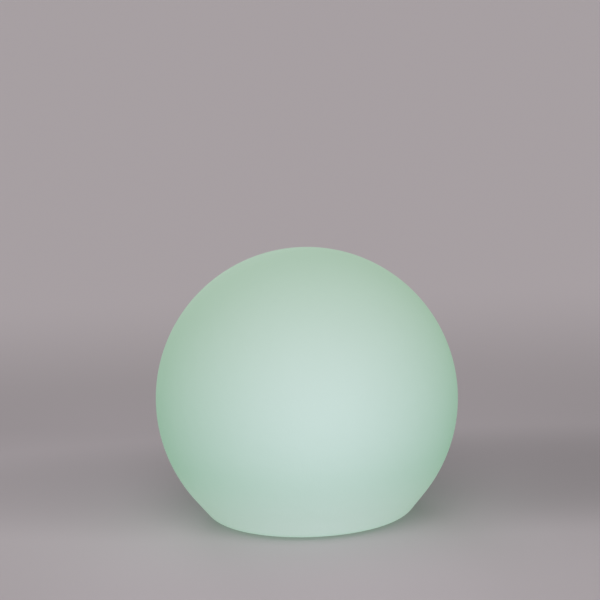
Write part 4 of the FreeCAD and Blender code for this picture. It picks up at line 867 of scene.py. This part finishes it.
def screw(shank, head, head_height, length):
    """A pan head with a cross recess on a threaded shank. The head's seat is at height 0, the tip below."""
    core = shank * CORE_SHARE
    edge = HEAD_ROUND * head_height
    profile = [(0, head_height), *arc((head - edge, head_height - edge), edge, QUARTER_TURN, 0, steps=6)]
    profile += [(head, 0), *((core * out, length * along) for out, along in SHANK_SHAPE)]
    bm = bmesh.new()
    turned(bm, profile, steps=48)
    cross = bmesh.new()
    arm, half = head * RECESS_ARM, head * RECESS_HALF
    corner = [Vector((arm, -half)), Vector((arm, half)), Vector((half, half))]
    outline = [Matrix.Rotation(QUARTER_TURN * quarter, 2) @ point for quarter in range(4) for point in corner]
    skin(cross, [[(*point * share, head_height * up) for point in outline] for share, up in RECESS_LEVELS])
    bm = carve(finish_mesh(bm, "blank"), finish_mesh(cross, "cross"))
    pitch = shank * PITCH_SHARE
    turns = THREADED_SHARE * length / pitch
    start = THREADED_FROM * length
    add_thread(bm, core, shank - core, start, pitch, turns, root=0.8 * pitch, crest=0.2 * pitch, steps=24)
    return bm


def add_screws():
    """A detailed screw in place of each plain one, each turned a little further than the one before."""
    for node, sizes in SCREWS.items():
        down = node in FACING_DOWN
        head_height = sizes[2]
        places = []
        for number, ends in enumerate(solids(node)):
            centre = middle(ends)
            seat = ends[0].z + head_height if down else ends[1].z - head_height
            spin = Matrix.Rotation(number * SCREW_SPIN, 4, "Z")
            turn = Matrix.Rotation(HALF_TURN if down else 0, 4, "X")
            places.append(Matrix.Translation((centre.x, centre.y, seat)) @ spin @ turn)
        dress(at_places(screw(*sizes), places, node + "_detailed"), "base", "screw_steel", node)


# ---------------------------------------------------------------- lamps and board parts

CASE_ROUND = 0.18 * MM
LENS_RADIUS = 2.1 * MM
LENS_DEPTH = 0.55 * MM
LENS_SUNK = 0.12 * MM
WELL_FLOOR_SHARE = 0.86
LENS_FOOT_SHARE = 0.85
LENS_DEPTH_SHARE = 0.95
# The lens's face from its wall to its middle: shares of the radius, and heights from the face's even part.
LENS_FACE = ((0.96, 0.08 * MM), (0.8, 0), (0, -0.05 * MM))

PIT_DEPTH = 0.1 * MM
PIT_FLOOR_SHARE = 0.8
PIT_INSET_RADII = 2
CHIP_LIFT = 0.1 * MM
CHIP_ROUND = 0.12 * MM
LEG_THICK = 0.15 * MM
LEG_ROOT = 0.1 * MM
LEG_SHOULDER_SHARE = 0.45
LEG_BENDS = (0.35, 0.6)
# For each kind of chip: the legs on a side, a leg's width and length, and the radius of the pit at pin one.
CHIPS = {
    "control_chip": (8, 0.45 * MM, 0.7 * MM, 0.32 * MM),
    "lamp_drivers": (4, 0.3 * MM, 0.45 * MM, 0.2 * MM),
}

COIL_PLATE = 0.7 * MM
COIL_TURNS = 7
DRUM_SHARE = 0.45
WINDING_SHARE = 0.8
WIRE_SHARE = 0.98

CAN_FOOT = 0.4 * MM
CAN_FOOT_SHARE = 0.97
CAN_RIM = 0.5 * MM
CAN_DISH = 0.15 * MM
CAN_DISH_SHARE = 0.8
CRIMP_HEIGHT = 1.2 * MM
CRIMP_HALF = 0.4 * MM
CRIMP_SHARE = 0.9

CONNECTOR_RIBS = 3
CONNECTOR_INSET = 0.3 * MM
CONNECTOR_RIB_HALF = 0.5 * MM
CONNECTOR_RIB_DROP = 0.5 * MM


def at_solids(node, make, name):
    """One object with a copy, at the foot of each of a node's solids, of a pattern made to their size."""
    found = solids(node)
    low, high = found[0]
    places = [Matrix.Translation((*middle(ends).xy, ends[0].z)) for ends in found]
    return at_places(make(high - low), places, name)


def lamp_case(size):
    """A square case with a round well on top."""
    half = size.x / 2
    block, well = bmesh.new(), bmesh.new()
    add_block(block, (-half, -half, 0), (half, half, size.z), CASE_ROUND)
    blank = finish_mesh(block, "blank")
    floor_radius = LENS_RADIUS * WELL_FLOOR_SHARE
    add_plug(well, size.z - LENS_DEPTH, size.z + LENS_DEPTH, floor_radius, LENS_RADIUS, steps=40)
    return carve(blank, finish_mesh(well, "well"))


def lamp_lens(size):
    """The soft fill of the well, a little below the rim, drawn up at its wall."""
    foot = size.z - LENS_DEPTH * LENS_DEPTH_SHARE
    face = size.z - LENS_SUNK
    profile = [(0, foot), (LENS_RADIUS * LENS_FOOT_SHARE, foot)]
    profile += [(LENS_RADIUS * out, face + up) for out, up in LENS_FACE]
    bm = bmesh.new()
    turned(bm, profile, steps=40)
    return bm


def add_light_parts():
    dress(at_solids("lamps", lamp_case, "lamp_cases"), "base", "connector_white", "lamps")
    dress(at_solids("lamps", lamp_lens, "lamp_lenses"), "base", "lamp_white")


def add_legged_chip(cases, legs, low, high, per_side, wide, foot):
    """A chip's case in one bmesh and, along its two long sides, gull-wing legs in another."""
    add_block(cases, (low.x, low.y + foot, low.z + CHIP_LIFT), (high.x, high.y - foot, high.z), CHIP_ROUND)
    pitch = (high.x - low.x) / per_side
    half = LEG_THICK / 2
    shoulder, flat = low.z + (high.z - low.z) * LEG_SHOULDER_SHARE, low.z + half
    bend, landing = (foot * share for share in LEG_BENDS)
    route = ((-LEG_ROOT, shoulder), (bend, shoulder), (landing, flat), (foot, flat))
    for side, edge in ((-1, low.y + foot), (1, high.y - foot)):
        for number in range(per_side):
            x = low.x + pitch * (number + 0.5)
            sections = []
            for out, height in route:
                outline = rectangle(x - wide / 2, height - half, x + wide / 2, height + half)
                sections.append([(across, edge + side * out, up) for across, up in outline])
            skin(legs, sections)


def add_chips():
    """The control chip and the lamp drivers, with a round pit at pin one."""
    for node, (per_side, wide, foot, pit) in CHIPS.items():
        cases, legs, pits = bmesh.new(), bmesh.new(), bmesh.new()
        for low, high in solids(node):
            add_legged_chip(cases, legs, low, high, per_side, wide, foot)
            inset, narrow = PIT_INSET_RADII * pit, PIT_FLOOR_SHARE * pit
            pin_one = (low.x + inset, low.y + foot + inset)
            add_plug(pits, high.z - PIT_DEPTH, high.z + PIT_DEPTH, narrow, pit, steps=24, centre=pin_one)
        carved = carve(finish_mesh(cases, "blank"), finish_mesh(pits, "pits"))
        dress(finish_mesh(carved, node + "_case"), "base", "switch_black", node)
        dress(finish_mesh(legs, node + "_legs"), "base", "contact_metal")


def add_coil():
    """A drum wound with wire between two plates."""
    low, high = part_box("power_coil")
    centre = middle((low, high)).xy
    half = (high.x - low.x) / 2
    core = bmesh.new()
    for foot, top in ((low.z, low.z + COIL_PLATE), (high.z - COIL_PLATE, high.z)):
        add_block(core, (low.x, low.y, foot), (high.x, high.y, top), bevel=0.3 * MM, segments=3)
    drum = half * DRUM_SHARE
    add_plug(core, low.z + COIL_PLATE / 2, high.z - COIL_PLATE / 2, drum, drum, steps=32, centre=centre)
    dress(finish_mesh(core, "coil_core"), "base", "coil_grey", "power_coil")
    winding = bmesh.new()
    thick = (high.z - low.z - 2 * COIL_PLATE) / COIL_TURNS / 2
    for number in range(COIL_TURNS):
        height = low.z + COIL_PLATE + thick * (2 * number + 1)
        wire = arc((half * WINDING_SHARE, height), thick * WIRE_SHARE, 0, FULL_TURN, steps=8)[:-1]
        turned(winding, wire, steps=40, closed=True, centre=centre)
    dress(finish_mesh(winding, "coil_winding"), "base", "contact_metal")


def add_capacitors():
    """Rolled cans: a rubber foot, a crimp above it and a rounded rim."""
    cans, feet = bmesh.new(), bmesh.new()
    for low, high in solids("capacitors"):
        centre, radius = middle((low, high)).xy, (high.x - low.x) / 2
        foot, crimp, top = low.z + CAN_FOOT, low.z + CRIMP_HEIGHT, high.z - CAN_DISH
        profile = [(0, foot), (radius, foot), (radius, crimp - CRIMP_HALF)]
        profile += [(radius * CRIMP_SHARE, crimp), (radius, crimp + CRIMP_HALF)]
        profile += arc((radius - CAN_RIM, high.z - CAN_RIM), CAN_RIM, 0, QUARTER_TURN, steps=6)
        profile += [(radius * CAN_DISH_SHARE, top), (0, top)]
        turned(cans, profile, steps=48, centre=centre)
        rubber_radius = radius * CAN_FOOT_SHARE
        add_plug(feet, low.z, foot, rubber_radius, rubber_radius, steps=48, centre=centre)
    dress(finish_mesh(cans, "capacitor_cans"), "base", "can_aluminium", "capacitors")
    dress(finish_mesh(feet, "capacitor_feet"), "base", "switch_black")


def add_connectors():
    """Moulded headers and the battery's plug, with ribs on their long sides."""
    half, inset, drop = CONNECTOR_RIB_HALF, CONNECTOR_INSET, CONNECTOR_RIB_DROP
    for node in ("battery_header", "battery_plug", "cable_headers"):
        bm = bmesh.new()
        for low, high in solids(node):
            add_block(bm, (low.x, low.y + inset, low.z), (high.x, high.y - inset, high.z), bevel=0.2 * MM)
            for number in range(CONNECTOR_RIBS):
                x = low.x + (high.x - low.x) * (number + 0.5) / CONNECTOR_RIBS
                add_block(bm, (x - half, low.y, low.z), (x + half, high.y, high.z - drop), bevel=0.15 * MM)
        dress(finish_mesh(bm, node + "_moulded"), "base", "connector_white", node)


# ---------------------------------------------------------------- the foam pad and the edges of CAD pieces

FOAM_ROWS = 14
FOAM_COLUMNS = 48
FOAM_PLAY = 0.12 * MM
FOAM_SUNK = 0.05 * MM
END_TAPER = 0.1
END_POWER = 8
SIDE_WAVE = 0.015
WAVE_RATE = 9
TOP_SHARE = 0.985
SHOULDER_DROP = 0.16
SHOULDER_POWER = 6


def add_foam():
    """The foam pad: it swells between its ends, and its hollow lies on the cell."""
    low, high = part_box("battery_pad")
    cell_low, cell_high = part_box("battery_cell")
    axis_z, radius = middle((cell_low, cell_high)).z, (cell_high.y - cell_low.y) / 2
    half, drop = (high.y - low.y) / 2, (high.z - low.z) * SHOULDER_DROP
    sections = []
    for i in range(FOAM_COLUMNS + 1):
        along = 2 * i / FOAM_COLUMNS - 1
        tight = 1 - END_TAPER * abs(along) ** END_POWER - SIDE_WAVE * (1 + math.cos(along * WAVE_RATE))
        ys = [half * tight * (2 * j / FOAM_ROWS - 1) for j in range(FOAM_ROWS + 1)]
        under = [(y, axis_z + math.sqrt(radius**2 - y**2) + FOAM_PLAY) for y in ys]
        crown = high.z - FOAM_SUNK
        over = [(y * TOP_SHARE, crown - drop * abs(y / half) ** SHOULDER_POWER) for y in reversed(ys)]
        x = low.x + (high.x - low.x) * i / FOAM_COLUMNS
        sections.append([(x, y, z) for y, z in under + over])
    bm = bmesh.new()
    skin(bm, sections)
    pad = dress(finish_mesh(bm, "foam_pad"), "base", "foam_grey", "battery_pad")


def round_edges(*nodes):
    """Breaks the sharp edges of CAD pieces that stay in view."""
    for name in nodes:
        piece = frame["nodes"][name]
        piece.modifiers.new("weld", "WELD").merge_threshold = SAME_POINT
        bevel = piece.modifiers.new("bevel", "BEVEL")
        bevel.width = EDGE_ROUND
        bevel.segments = 2
        bevel.limit_method = "ANGLE"
        bevel.angle_limit = SHARP_ANGLE
        bevel.harden_normals = True


# ---------------------------------------------------------------- build

materials = make_materials()
add_camera()
add_lights()
add_floor()

for row in frame["record"]["subparts"]:
    node = frame["nodes"][row["node"]]
    node.data.materials.clear()
    node.data.materials.append(materials[row["material_slot"]].material)

add_globe()
add_threads()
add_seals()
add_button()
add_cover_sign()
add_grip_ribs()
add_screws()
add_light_parts()
add_chips()
add_coil()
add_capacitors()
add_connectors()
add_foam()
round_edges("base_cap", "light_tower", "socket_cover", "cover_root", "battery_cradle")

bpy.context.scene.view_settings.view_transform = "Standard"
